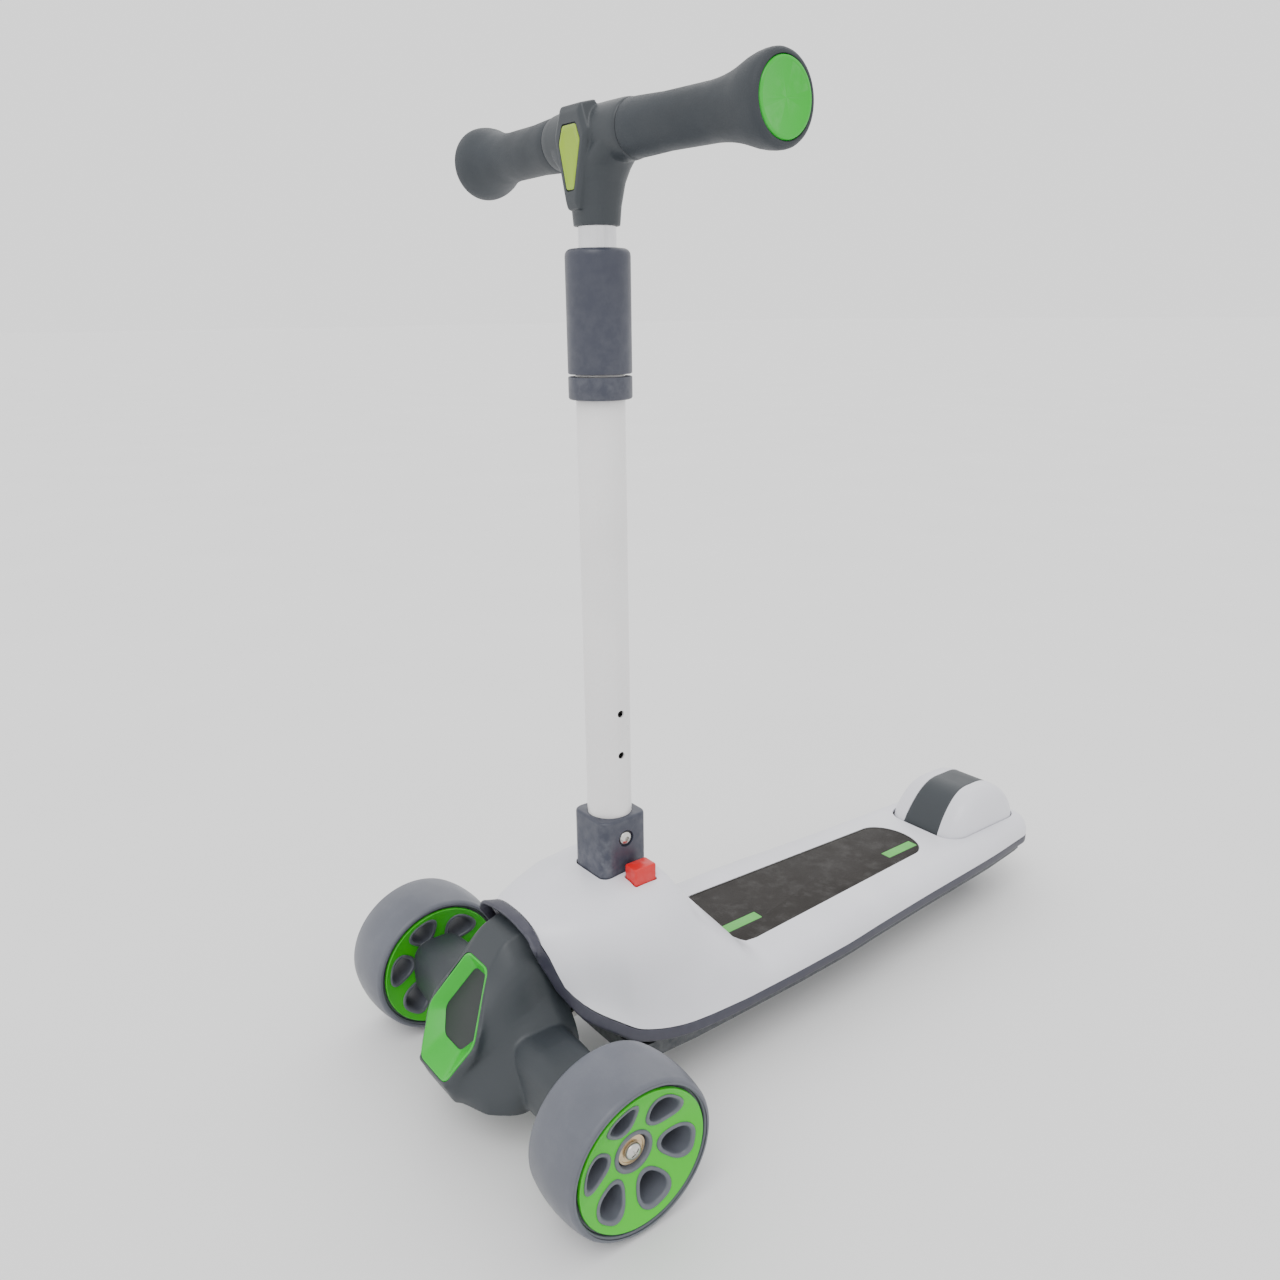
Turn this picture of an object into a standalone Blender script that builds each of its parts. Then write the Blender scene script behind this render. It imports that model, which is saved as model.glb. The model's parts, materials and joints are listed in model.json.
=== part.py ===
"""Three-wheeled kick scooter with lean-to-turn front truck.

Metres, +Z up, -Y is the riding direction and +X is the rider's left. All named places are
measured from the front axle's Y; the empty "scooter" then puts the origin at the middle of the
scooter's footprint, on the ground.
"""
from math import cos, pi, radians, sin

import bmesh
import bpy
from mathutils import Matrix, Vector

# ------------------------------------------------------------------ clearances
GAP = 0.0003                 # between pieces that touch
RUNNING_GAP = 0.0005         # round a shaft or a sliding tube
PANEL_GAP = 0.0008           # the visible line round a moving panel

# ------------------------------------------------------------------ front wheels
FRONT_WHEEL_RADIUS = 0.060
FRONT_WHEEL_WIDTH = 0.0523
FRONT_TRACK = 0.279          # between the wheels' middle planes
TYRE_CROWN = 0.0025          # how far the tread stands above its shoulders
TYRE_DEPTH = 0.0075           # of the urethane over the core
TYRE_BORE_RADIUS = FRONT_WHEEL_RADIUS - TYRE_DEPTH
DISC_RADIUS = TYRE_BORE_RADIUS - 0.002
DISC_DEPTH = 0.013           # how far the wheel face falls towards the hub
DISC_WALL = 0.0018
HUB_RING_RADIUS = 0.0155
TUNNEL_COUNT = 6
TUNNEL_CIRCLE_RADIUS = (DISC_RADIUS + HUB_RING_RADIUS) / 2 + 0.0005
TUNNEL_RIM_ROOM = 0.0077      # from a tunnel's bore to the hub ring and to the disc's edge
TUNNEL_RADIUS = (DISC_RADIUS - HUB_RING_RADIUS) / 2 - TUNNEL_RIM_ROOM
TUNNEL_RIM = 0.0035
TUNNEL_LIP_RISE = 0.0008     # of the lips above the green discs
DISC_EDGE_SETBACK = 0.0012   # of the disc's edge behind the tyre's face

# ------------------------------------------------------------------ bearings and axles
BEARING_OUTER_RADIUS = 0.011
BEARING_WIDTH = 0.007
AXLE_RADIUS = 0.004
AXLE_HEAD_RADIUS = 0.0065
AXLE_HEAD_HEIGHT = 0.0045

# ------------------------------------------------------------------ rear wheel
REAR_WHEEL_RADIUS = 0.050
REAR_WHEEL_WIDTH = 0.030
REAR_AXLE_Y = 0.535
REAR_TYRE_BORE_RADIUS = 0.038
FORK_CLEARANCE = 0.003       # each side of the rear wheel
CHEEK_WIDTH = 0.024
CHEEK_LENGTH = 0.052
CHEEK_BOTTOM = 0.028
AXLE_POCKET_WIDTH = 0.009    # room in the tray for the axle's head and nut

# ------------------------------------------------------------------ deck and hood
NOSE_REACH = 0.0680          # front of the nose ahead of the front axle
DECK_END = 0.608
DECK_TOP = 0.080
EDGE_HEIGHT = 0.060          # where the white shell meets the dark strip
DECK_HALF_WIDTH = 0.080
SHELL_WALL = 0.003
HOOD_FRONT = 0.008
HOOD_BACK = 0.205            # where the hood has run down to the deck
TAIL_ROUND = 0.028           # length of the rounded tail
STRIP_WIDTH = 0.009
STRIP_THICKNESS = 0.003
STRIP_BEVEL = 0.0008          # keeps the strip's inner corner off the shell's edge
TRAY_BOTTOM = 0.044
TRAY_TOP = 0.0575
TRAY_WALL = 0.003
TRAY_FRONT = 0.064
TRAY_INSET = 0.0045          # from the shell's edge to the tray's wall

# ------------------------------------------------------------------ deck mat
MAT_FRONT = 0.191
MAT_BACK = 0.459
MAT_FRONT_HALF_WIDTH = 0.043
MAT_BACK_HALF_WIDTH = 0.033
MAT_THICKNESS = 0.0017
MAT_SUNK = 0.0020
MARK_LENGTH = 0.041
MARK_WIDTH = 0.0105
MARK_X = 0.018
MARK_THICKNESS = 0.0006

# ------------------------------------------------------------------ brake
BRAKE_HALF_WIDTH = 0.043
BRAKE_FRONT = 0.482
BRAKE_BACK = 0.592
BRAKE_CORNER = 0.020
BRAKE_TOP = 0.118
BRAKE_WALL = 0.0028
BRAKE_STRIP_HALF_WIDTH = 0.019
BRAKE_STRIP_DEPTH = 0.0014
BRAKE_PIN_RADIUS = 0.003
BRAKE_PIN_HEIGHT = 0.064
BRAKE_PIN_AHEAD = 0.006      # from the tyre's front to the pin
BRAKE_SHOE_GAP = 0.004       # above the tyre at rest
DOME_LEVELS = (0.0, 0.2, 0.4, 0.6, 0.78, 0.92, 1.0)
STRIP_FRONT_SHARE = 0.05     # how far up the dome the strip starts in front ...
STRIP_BACK_SHARE = 0.45      # ... and ends behind

# ------------------------------------------------------------------ steering
PIVOT_Y = 0.030              # a point on the steering axis ...
PIVOT_HEIGHT = 0.100         # ... at this height
PIVOT_TILT = radians(25.0)
TILT = (PIVOT_TILT, 0.0, 0.0)
KINGPIN_RADIUS = 0.005
PIVOT_BOSS_RADIUS = 0.014
PIVOT_BOSS_LENGTH = 0.030
BUSH_HEIGHT = 0.006          # rubber ring that brings the truck back to the middle
BRACKET_WALL = 0.005
BRACKET_REACH = 0.012        # of the ears ahead of the kingpin
BRACKET_HALF_WIDTH = 0.017
BRACKET_FOOT_HEIGHTS = (0.0755, 0.098)
KINGPIN_NUT_HEIGHT = 0.006
TRUCK_BEAM_SIZE = 0.018
NOSE_WALL = 0.003
ARM_WHEEL_GAP = 0.0016
ARM_BELOW_AXLE = 0.022        # reach of the cowl's arm under the axle ...
ARM_ABOVE_AXLE = 0.035        # ... and over it
NOSE_AXLE_HEIGHT = 0.060      # axle height that the cowl's outlines are drawn for
BEAM_BORE_START = 0.078      # how far from the middle the axle bolts' threads reach in

# ------------------------------------------------------------------ badge on the nose
BADGE_TOP_Y = -0.025         # top edge of the badge's flat face
BADGE_TOP_HEIGHT = FRONT_WHEEL_RADIUS + 0.075
BADGE_SLOPE = radians(60.2)  # of that face, from level
BADGE_TOP_HALF = 0.0150
BADGE_SHOULDER_HALF = 0.0335
BADGE_SHOULDER_DOWN = 0.050  # down the slope from the top edge
BADGE_BOTTOM_HALF = 0.0190
BADGE_DOWN = 0.086
BADGE_LIP = 0.0018
BADGE_WALL = 0.0014
BADGE_EDGE = 0.003           # depth of the ring's outer side
BADGE_DEPTH = 0.008          # from the lip to the floor
BADGE_FLOOR_TOP = 0.0085
BADGE_FLOOR_SHOULDER = 0.047
BADGE_FLOOR_BOTTOM = 0.064
BADGE_FLOOR_HALVES = (0.0085, 0.0240, 0.0120)

# ------------------------------------------------------------------ stem
STEM_Y = 0.0962
STEM_TUBE_RADIUS = 0.017
STEM_TUBE_WALL = 0.0015
SOCKET_WALL = 0.004           # of the block outside the tube
SOCKET_SIZE = 2 * (STEM_TUBE_RADIUS + SOCKET_WALL)
SOCKET_CORNER = 0.008
SOCKET_TOP = 0.219
SOCKET_BASE = 0.165
SOCKET_TONGUE = 0.032
TONGUE_BOTTOM = 0.112
RECEIVER_WALL = 0.004
SOCKET_BOLT_HEIGHT = 0.202
SOCKET_BOLT_RADIUS = 0.003
SPARE_HOLE_HEIGHTS = (0.2690, 0.3020)
SPARE_HOLE_RADIUS = 0.0028
BUTTON_LENGTH = 0.020
BUTTON_WIDTH = 0.014
BUTTON_HEIGHT = 0.009
BUTTON_TOP = 0.1845
BUTTON_SKIRT = 0.008          # hidden part below the cap
BUTTON_SPRING_LENGTH = 0.014

# ------------------------------------------------------------------ collar and handlebar
BAR_HEIGHT = 0.694
HUB_BASE_DROP = 0.0543       # from the bar's axis down to the neck's lower end
INNER_TUBE_SHOWS = 0.0137    # bright tube between neck and collar
COLLAR_RADIUS = 0.022
SLEEVE_LENGTH = 0.0803
RING_LENGTH = 0.0154
RING_GAP = 0.0016
INNER_TUBE_RADIUS = 0.0127
INNER_TUBE_WALL = 0.0016
INNER_TUBE_LENGTH = 0.340
COLLET_LENGTH = 0.014
BAR_HALF_LENGTH = 0.163
BAR_SWEEP = radians(3.6)
BAR_ROD_RADIUS = 0.011
GRIP_RADIUS = 0.016
GRIP_FLARE_RADIUS = 0.0253
END_CAP_RADIUS = 0.0209
END_CAP_THICKNESS = 0.0022
HUB_RADIUS = 0.0185
HUB_HALF_LENGTH = 0.040
PLINTH_HEIGHT = 0.0020        # badge plinth before the hub's face

# ------------------------------------------------------------------ screws and lugs
SCREW_RADIUS = 0.002
SCREW_HEAD_RADIUS = 0.004
SCREW_HEAD_HEIGHT = 0.0014
SCREW_BEHIND_HOOD = 0.048     # from the hood's end to the front screws
SCREW_AHEAD_OF_AXLE = 0.080   # from the rear screws to the rear axle
LUG_HALF_WIDTH = 0.002
COVER_LUG_X = 0.0215
TRAY_LUG_X = COVER_LUG_X + 2 * LUG_HALF_WIDTH + GAP
BOLT_HEAD_RADIUS = 0.0055

ORIGIN_Y = (NOSE_REACH - DECK_END) / 2


# ------------------------------------------------------------------ modelling helpers
def clear_scene():
    for old in list(bpy.data.objects):
        bpy.data.objects.remove(old, do_unlink=True)


def finish(name, colour, roughness, metallic=0.0):
    material = bpy.data.materials.new(name)
    material.use_nodes = True
    shader = material.node_tree.nodes["Principled BSDF"]
    shader.inputs["Base Color"].default_value = (*colour, 1.0)
    shader.inputs["Roughness"].default_value = roughness
    shader.inputs["Metallic"].default_value = metallic
    return material


def joint_empty(name, place=(0.0, 0.0, 0.0), parent=None):
    """An empty on a joint; `place` is measured from the front axle, as every place here."""
    empty = bpy.data.objects.new(name, None)
    bpy.context.scene.collection.objects.link(empty)
    empty["place"] = place
    empty.parent = parent
    start = Vector(parent["place"]) if parent else Vector((0.0, -ORIGIN_Y, 0.0))
    empty.location = Vector(place) - start
    return empty


def add_piece(name, shape, look, body, place=(0.0, 0.0, 0.0), turn=(0.0, 0.0, 0.0)):
    """Make an object from a bmesh (or share an existing mesh) and hang it on its body."""
    if isinstance(shape, bpy.types.Mesh):
        mesh = shape
    else:
        bmesh.ops.recalc_face_normals(shape, faces=shape.faces)
        if shape.calc_volume(signed=True) < 0 and all(edge.is_manifold for edge in shape.edges):
            bmesh.ops.reverse_faces(shape, faces=shape.faces)
        mesh = bpy.data.meshes.new(name)
        shape.to_mesh(mesh)
        shape.free()
        mesh.materials.append(look)
        mesh.shade_smooth()
        mesh.set_sharp_from_angle(angle=radians(35))
    piece = bpy.data.objects.new(name, mesh)
    bpy.context.scene.collection.objects.link(piece)
    piece.parent = body
    piece.location = Vector(place) - Vector(body["place"])
    piece.rotation_euler = turn
    return piece


def boolean(piece, operation, shape, place=(0.0, 0.0, 0.0), turn=(0.0, 0.0, 0.0)):
    """Cut a shape out of a piece, or join it to the piece; the shape stays as a hidden guide."""
    tool = add_piece(piece.name + "_" + operation.lower(), shape, None, piece.parent, place, turn)
    tool.hide_render = True
    tool.display_type = "WIRE"
    step = piece.modifiers.new(tool.name, "BOOLEAN")
    step.operation = operation
    step.solver = "EXACT"
    step.object = tool
    return step


def cut(piece, shape, place=(0.0, 0.0, 0.0), turn=(0.0, 0.0, 0.0)):
    return boolean(piece, "DIFFERENCE", shape, place, turn)


def join(piece, shape, place=(0.0, 0.0, 0.0), turn=(0.0, 0.0, 0.0)):
    return boolean(piece, "UNION", shape, place, turn)


def skinned(rings, loop=False):
    """Skin rings of equal point counts; open ends are capped unless the rings form a loop."""
    shape = bmesh.new()
    made = [[shape.verts.new(point) for point in ring] for ring in rings]
    following = made[1:] + made[:1] if loop else made[1:]
    count = len(made[0])
    for near, far in zip(made, following):
        for k in range(count):
            after = (k + 1) % count
            shape.faces.new((near[k], near[after], far[after], far[k]))
    if not loop:
        caps = [shape.faces.new(made[0]), shape.faces.new(made[-1])]
        bmesh.ops.triangulate(shape, faces=caps, ngon_method="EAR_CLIP")
    return shape


def turned(profile, segments=24, axis="Z", phase=0.0):
    """Turn a profile of (radius, distance along the axis); one off the axis closes on itself."""
    shape = bmesh.new()
    rings = []
    for radius, along in profile:
        if radius < 1e-9:
            rings.append([shape.verts.new((0.0, 0.0, along))])
            continue
        angles = [2 * pi * (k + phase) / segments for k in range(segments)]
        rings.append([shape.verts.new((radius * cos(a), radius * sin(a), along)) for a in angles])
    following = rings[1:] + rings[:1] if profile[0][0] > 1e-9 else rings[1:]
    for near, far in zip(rings, following):
        if len(near) == 1 and len(far) == 1:
            continue
        for k in range(segments):
            after = (k + 1) % segments
            corners = [near[k % len(near)], near[after % len(near)]]
            corners += [far[after % len(far)], far[k % len(far)]]
            shape.faces.new(list(dict.fromkeys(corners)))
    if axis == "X":
        shape.transform(Matrix.Rotation(pi / 2, 4, "Y"))
    return shape


def rod(radius, low, high, axis="Z", segments=16):
    return turned(((0.0, low), (radius, low), (radius, high), (0.0, high)), segments, axis)


def bore(radius, low, high, axis="Z", segments=16):
    """A round cutter whose edges stay off the edges of the piece it cuts."""
    return turned(((0.0, low), (radius, low), (radius, high), (0.0, high)), segments, axis, phase=0.37)


def ring(inner, outer, low, high, axis="Z", segments=20):
    return turned(((inner, low), (outer, low), (outer, high), (inner, high)), segments, axis)


def nut(bore_radius, half_flats, low, high, axis="Z"):
    """Hexagon nut with a round hole."""
    rings = []
    for outside, along in ((False, low), (True, low), (True, high), (False, high)):
        points = []
        for k in range(24):
            angle = 2 * pi * k / 24
            corner = half_flats / cos((angle + pi / 6) % (pi / 3) - pi / 6)
            r = corner if outside else bore_radius
            points.append((r * cos(angle), r * sin(angle), along))
        rings.append(points)
    shape = skinned(rings, loop=True)
    if axis == "X":
        shape.transform(Matrix.Rotation(pi / 2, 4, "Y"))
    return shape


def softened(corners, radius, steps=2):
    """Outline with each of its corners turned into a short curve."""
    points = []
    before = corners[-1:] + corners[:-1]
    after = corners[1:] + corners[:1]
    for previous, corner, following in zip(before, corners, after):
        corner = Vector(corner)
        start = corner + (Vector(previous) - corner).normalized() * radius
        end = corner + (Vector(following) - corner).normalized() * radius
        for k in range(steps + 1):
            t = k / steps
            point = start * (1 - t) ** 2 + corner * (2 * t * (1 - t)) + end * t ** 2
            points.append((point.x, point.y))
    return points


def prism(outline, low, high):
    return skinned([[(x, y, low) for x, y in outline], [(x, y, high) for x, y in outline]])


def box(half_x, half_y, low, high, centre=(0.0, 0.0)):
    x, y = centre
    corners = ((-1, -1), (1, -1), (1, 1), (-1, 1))
    return prism([(x + half_x * i, y + half_y * j) for i, j in corners], low, high)


def rounded_box(half_x, half_y, low, high, corner, steps=4):
    return prism(rounded_rectangle(half_x, half_y, corner, steps), low, high)


def rounded_rectangle(half_x, half_y, corner, steps=4, centre=(0.0, 0.0)):
    points = []
    for quarter, (i, j) in enumerate(((1, 1), (-1, 1), (-1, -1), (1, -1))):
        for k in range(steps + 1):
            angle = (quarter + k / steps) * pi / 2
            x = centre[0] + i * (half_x - corner) + corner * cos(angle)
            y = centre[1] + j * (half_y - corner) + corner * sin(angle)
            points.append((x, y))
    return points


def bezier(ends, t):
    a, b, c, d = ends
    s = 1 - t
    return a * s ** 3 + 3 * b * s * s * t + 3 * c * s * t * t + d * t ** 3


def eased(stations, place):
    """Read a table of (place, values...) at a place, with slopes that never overshoot."""
    xs = [row[0] for row in stations]
    if place <= xs[0]:
        return stations[0][1:]
    if place >= xs[-1]:
        return stations[-1][1:]
    i = max(k for k in range(len(xs) - 1) if xs[k] <= place)
    h = xs[i + 1] - xs[i]
    t = (place - xs[i]) / h
    values = []
    for column in range(1, len(stations[0])):
        ys = [row[column] for row in stations]

        def slope(k):
            if k == 0 or k == len(xs) - 1:
                return 0.0
            before = (ys[k] - ys[k - 1]) / (xs[k] - xs[k - 1])
            after = (ys[k + 1] - ys[k]) / (xs[k + 1] - xs[k])
            return 0.0 if before * after <= 0 else 2 * before * after / (before + after)

        m0, m1 = slope(i) * h, slope(i + 1) * h
        rise = ys[i + 1] - ys[i]
        values.append(ys[i] + m0 * t + (3 * rise - 2 * m0 - m1) * t * t + (m0 + m1 - 2 * rise) * t ** 3)
    return tuple(values)


# ------------------------------------------------------------------ deck surface
def deck_stations():
    """Half sections of the white shell: y, top z, flat half width, two handles, edge (x, z)."""
    w = DECK_HALF_WIDTH
    top = DECK_TOP
    edge = EDGE_HEIGHT
    run = DECK_END - HOOD_BACK
    hood = (
        (HOOD_FRONT, top + 0.0853, 0.004, 0.18 * w, top + 0.0853, 0.39 * w, top + 0.082, 0.45 * w,
         top + 0.072),
        (0.014, top + 0.0860, 0.005, 0.38 * w, top + 0.086, 0.53 * w, top + 0.076, 0.52 * w, top + 0.055),
        (0.020, top + 0.0867, 0.006, 0.56 * w, top + 0.088, 0.62 * w, top + 0.066, 0.58 * w, top + 0.037),
        (0.030, top + 0.0878, 0.007, 0.82 * w, top + 0.091, 0.60 * w, top + 0.046, 0.75 * w, top + 0.024),
        (0.050, top + 0.0895, 0.009, 1.05 * w, top + 0.094, 0.66 * w, top + 0.034, 0.90 * w, top + 0.009),
        (0.067, top + 0.0915, 0.010, 1.16 * w, top + 0.096, 0.76 * w, top + 0.030, 0.97 * w, edge + 0.018),
        (0.100, top + 0.0950, 0.010, 1.17 * w, top + 0.098, 0.84 * w, top + 0.026, 0.995 * w, edge + 0.007),
        (0.117, top + 0.0950, 0.010, 1.15 * w, top + 0.097, 0.87 * w, top + 0.024, w, edge + 0.004),
        (0.137, top + 0.0720, 0.012, 1.10 * w, top + 0.073, 0.90 * w, top + 0.016, w, edge + 0.002),
        (0.154, top + 0.0520, 0.016, 1.05 * w, top + 0.052, 0.94 * w, top + 0.008, w, edge + 0.001),
        (0.175, top + 0.0270, 0.026, w, top + 0.027, 0.98 * w, top - 0.002, w, edge),
        (0.190, top + 0.0080, 0.036, 0.95 * w, top + 0.008, w, top - 0.004, w, edge),
        (HOOD_BACK, top, 0.045, 0.92 * w, top, w, top - 0.005, w, edge),
    )
    # the deck proper: share of its run, flat half width, handles, edge half width
    deck = (
        (0.20, 0.565, 0.87, 0.98, 0.980),
        (0.33, 0.540, 0.81, 0.93, 0.930),
        (0.50, 0.510, 0.74, 0.87, 0.870),
        (0.79, 0.500, 0.67, 0.79, 0.785),
        (0.93, 0.480, 0.60, 0.73, 0.715),
        (1.00, 0.460, 0.57, 0.69, 0.690),
    )
    rows = [(HOOD_BACK + s * run, top, f * w, a * w, top, b * w, top - 0.005, e * w, edge) for s, f, a, b,
            e in deck]
    return hood + tuple(rows)


def tail_share(place, power):
    """1 along the deck, falling to 0 at its end as a rounded corner does."""
    share = max(0.0, min(1.0, (place - (DECK_END - TAIL_ROUND)) / TAIL_ROUND))
    return (1 - share ** power) ** (1 / power)


def deck_point(u, place, stations):
    """Point of the shell's outer face; u runs from -1 (right edge) over the top to 1."""
    top, flat, ax, az, bx, bz, ex, ez = eased(stations, place)
    wide = tail_share(place, 2.6)
    high = tail_share(place, 2.2)
    side = abs(u)
    flat_share = 0.25
    if side <= flat_share:
        x, z = flat * side / flat_share, top
    else:
        t = (side - flat_share) / (1 - flat_share)
        x = bezier((flat, ax, bx, ex), t)
        z = bezier((top, az, bz, ez), t)
    x *= wide
    z = EDGE_HEIGHT + (z - EDGE_HEIGHT) * high
    return Vector((x if u >= 0 else -x, place, z))


def deck_rows(hood_step=0.013, deck_step=0.075, tail_rows=5):
    rows = [HOOD_FRONT]
    while rows[-1] + hood_step < HOOD_BACK:
        rows.append(rows[-1] + hood_step)
    rows.append(HOOD_BACK)
    tail = DECK_END - TAIL_ROUND
    while rows[-1] + deck_step * 1.5 < tail:
        rows.append(rows[-1] + deck_step)
    return rows + [tail + TAIL_ROUND * sin(pi / 2 * k / tail_rows) for k in range(tail_rows)]


def edge_half_width(place, stations):
    return deck_point(1.0, place, stations).x


def shell_grid(stations, rows, columns=8):
    us = [k / columns for k in range(-columns, columns + 1)]
    return [[deck_point(u, place, stations) for u in us] for place in rows]


def edge_frames(grid, tail_tip):
    """Places round the shell's edge with the directions that carry on the shell past it."""
    side = [row[-1] for row in grid]
    inner = [row[-2] for row in grid]
    front = grid[0]
    behind = grid[1]
    half = [(point, back) for point, back in zip(front, behind)][len(front) // 2:]
    path = [(p, p - b) for p, b in half[:-1]]
    path += [(p, p - i) for p, i in zip(side, inner)]
    path.append((tail_tip, Vector((0.0, 0.0, -1.0))))
    mirrored = [(Vector((-p.x, p.y, p.z)), Vector((-d.x, d.y, d.z))) for p, d in reversed(path[1:-1])]
    path += mirrored
    frames = []
    count = len(path)
    for k, (point, away) in enumerate(path):
        along = path[(k + 1) % count][0] - path[k - 1][0]
        along.normalize()
        away = away - along * away.dot(along)
        away.normalize()
        inward = along.cross(away)
        middle = Vector((0.0, min(point.y + 0.02, DECK_END - 2 * TAIL_ROUND), 0.07))
        if inward.dot(middle - point) < 0:
            inward = -inward
        frames.append((point, away, inward))
    return frames


# ------------------------------------------------------------------ deck pieces
def upper_shell(look, body, stations):
    """White moulding: hood over the truck, deck and rounded tail, open underneath."""
    shape = bmesh.new()
    grid = shell_grid(stations, deck_rows())
    made = [[shape.verts.new(point) for point in row] for row in grid]
    for near, far in zip(made, made[1:]):
        for k in range(len(near) - 1):
            shape.faces.new((near[k], near[k + 1], far[k + 1], far[k]))
    tip = shape.verts.new((0.0, DECK_END, EDGE_HEIGHT))
    for k in range(len(made[-1]) - 1):
        shape.faces.new((made[-1][k], made[-1][k + 1], tip))
    piece = add_piece("upper_shell", shape, look, body)
    wall = piece.modifiers.new("wall", "SOLIDIFY")
    wall.thickness = SHELL_WALL
    wall.offset = -1.0
    wall.use_even_offset = True
    wall.thickness_clamp = 0.0
    high = 0.25
    hole = SOCKET_SIZE / 2 + PANEL_GAP
    cut(piece, rounded_box(hole, hole, 0.10, high, SOCKET_CORNER), (0.0, STEM_Y, 0.0))
    cut(piece, box(BUTTON_WIDTH / 2 + PANEL_GAP, BUTTON_LENGTH / 2 + PANEL_GAP, 0.12, high), button_place())
    cut(piece, prism(brake_outline(PANEL_GAP), 0.040, high))
    cut(piece, prism(mat_outline(PANEL_GAP), DECK_TOP - MAT_SUNK, high))
    return piece


def mat_outline(spread=0.0):
    """Tapered mat with cropped front corners and a round back."""
    a = MAT_FRONT_HALF_WIDTH + spread
    b = MAT_BACK_HALF_WIDTH + spread
    front = MAT_FRONT - spread
    back = MAT_BACK + spread
    right = [(0.55 * a, front), (0.80 * a, front + 0.005), (0.96 * a, front + 0.013), (a, front + 0.024)]
    sweep = 8
    radius = b
    centre = back - 0.75 * radius
    arc = [(b * cos(pi / 2 * k / sweep), centre + 0.75 * radius * sin(pi / 2 * k / sweep)) for k in range(sweep)]
    half = right + arc
    return half + [(0.0, back)] + [(-x, y) for x, y in reversed(half)]


def deck_mat(look, body):
    piece = add_piece("deck_mat", prism(mat_outline(), mat_bottom(), mat_bottom() + MAT_THICKNESS), look,
                      body)
    for place in mark_places():
        cut(piece, box(MARK_WIDTH / 2 + GAP, MARK_LENGTH / 2 + GAP, mark_bottom() - GAP, 0.2), place)
    return piece


def mat_bottom():
    return DECK_TOP - MAT_SUNK + GAP


def mark_bottom():
    return mat_bottom() + MAT_THICKNESS - MARK_THICKNESS


def mark_places():
    margin = 0.029
    return ((MARK_X, MAT_FRONT + margin, 0.0), (MARK_X, MAT_BACK - margin, 0.0))


def mat_mark(name, look, body, place):
    shape = box(MARK_WIDTH / 2, MARK_LENGTH / 2, mark_bottom(), mat_bottom() + MAT_THICKNESS)
    return add_piece(name, shape, look, body, place)


def edge_strip(look, body, stations):
    """Dark lip that carries the white shell's surface on, right round its edge."""
    grid = shell_grid(stations, deck_rows())
    frames = edge_frames(grid, Vector((0.0, DECK_END, EDGE_HEIGHT)))
    rings = []
    for point, away, inward in frames:
        near = point + away * GAP
        far = point + away * (GAP + STRIP_WIDTH)
        bevel = away * STRIP_BEVEL
        rings.append((near, far, far + inward * STRIP_THICKNESS, near + bevel + inward * STRIP_THICKNESS))
    return add_piece("edge_strip", skinned(rings, loop=True), look, body)


def tray_outline(stations, inset, front, steps=9):
    tail = DECK_END - TAIL_ROUND
    places = [front + (tail - front) * k / steps for k in range(steps + 1)]
    places += [tail + TAIL_ROUND * sin(pi / 2 * k / 5) for k in range(1, 5)]
    reach = DECK_END - STRIP_THICKNESS
    right = []
    for place in places:
        squeezed = min(place, reach - inset * 0.3) if place > tail else place
        right.append((edge_half_width(place, stations) - inset,
                      squeezed - (inset if place > tail else 0.0)))
    return right + [(-x, y) for x, y in reversed(right)]


def lower_tray(look, body, stations):
    """Dark underside tray with the cheeks that carry the rear axle."""
    outer = tray_outline(stations, TRAY_INSET, TRAY_FRONT)
    piece = add_piece("lower_tray", prism(outer, TRAY_BOTTOM, TRAY_TOP), look, body)
    inner = tray_outline(stations, TRAY_INSET + TRAY_WALL, TRAY_FRONT + TRAY_WALL)
    cut(piece, prism(inner, TRAY_BOTTOM + TRAY_WALL, 0.1))
    inside = REAR_WHEEL_WIDTH / 2 + FORK_CLEARANCE
    cheek_x = inside + CHEEK_WIDTH / 2
    for side in (1, -1):
        join(piece, cheek(), (side * cheek_x, REAR_AXLE_Y, 0.0))
    for side in (1, -1):
        pocket = box(AXLE_POCKET_WIDTH / 2, AXLE_HEAD_RADIUS + 0.002, 0.0, 0.1)
        cut(piece, pocket, (side * (inside + CHEEK_WIDTH + AXLE_POCKET_WIDTH / 2), REAR_AXLE_Y, 0.0))
    slot = REAR_WHEEL_RADIUS + 0.003
    cut(piece, box(inside, slot, 0.0, 0.1), (0.0, REAR_AXLE_Y, 0.0))
    reach = inside + CHEEK_WIDTH + 0.01
    cut(piece, bore(AXLE_RADIUS + GAP, -reach, reach, "X", 16), (0.0, REAR_AXLE_Y, REAR_WHEEL_RADIUS))
    x, y, z = brake_pin_place()
    for side in (1, -1):
        join(piece, hinge_lug(LUG_HALF_WIDTH, TRAY_BOTTOM + 0.001 - z, 0.0055, 0.0055, 0.0050),
             (side * TRAY_LUG_X, y, 0.0))
    cut(piece, bore(BRAKE_PIN_RADIUS + GAP, -0.06, 0.06, "X"), (x, y, z))
    for x, y in screw_places(stations):
        cut(piece, bore(SCREW_RADIUS + GAP, 0.03, 0.07, segments=12), (x, y, 0.0))
        cut(piece, bore(SCREW_HEAD_RADIUS + GAP, 0.03, screw_seat() + GAP, segments=12), (x, y, 0.0))
    return piece


def screw_seat():
    """Height at which a deck screw's head bears on the tray."""
    return TRAY_BOTTOM + GAP + SCREW_HEAD_HEIGHT


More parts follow.
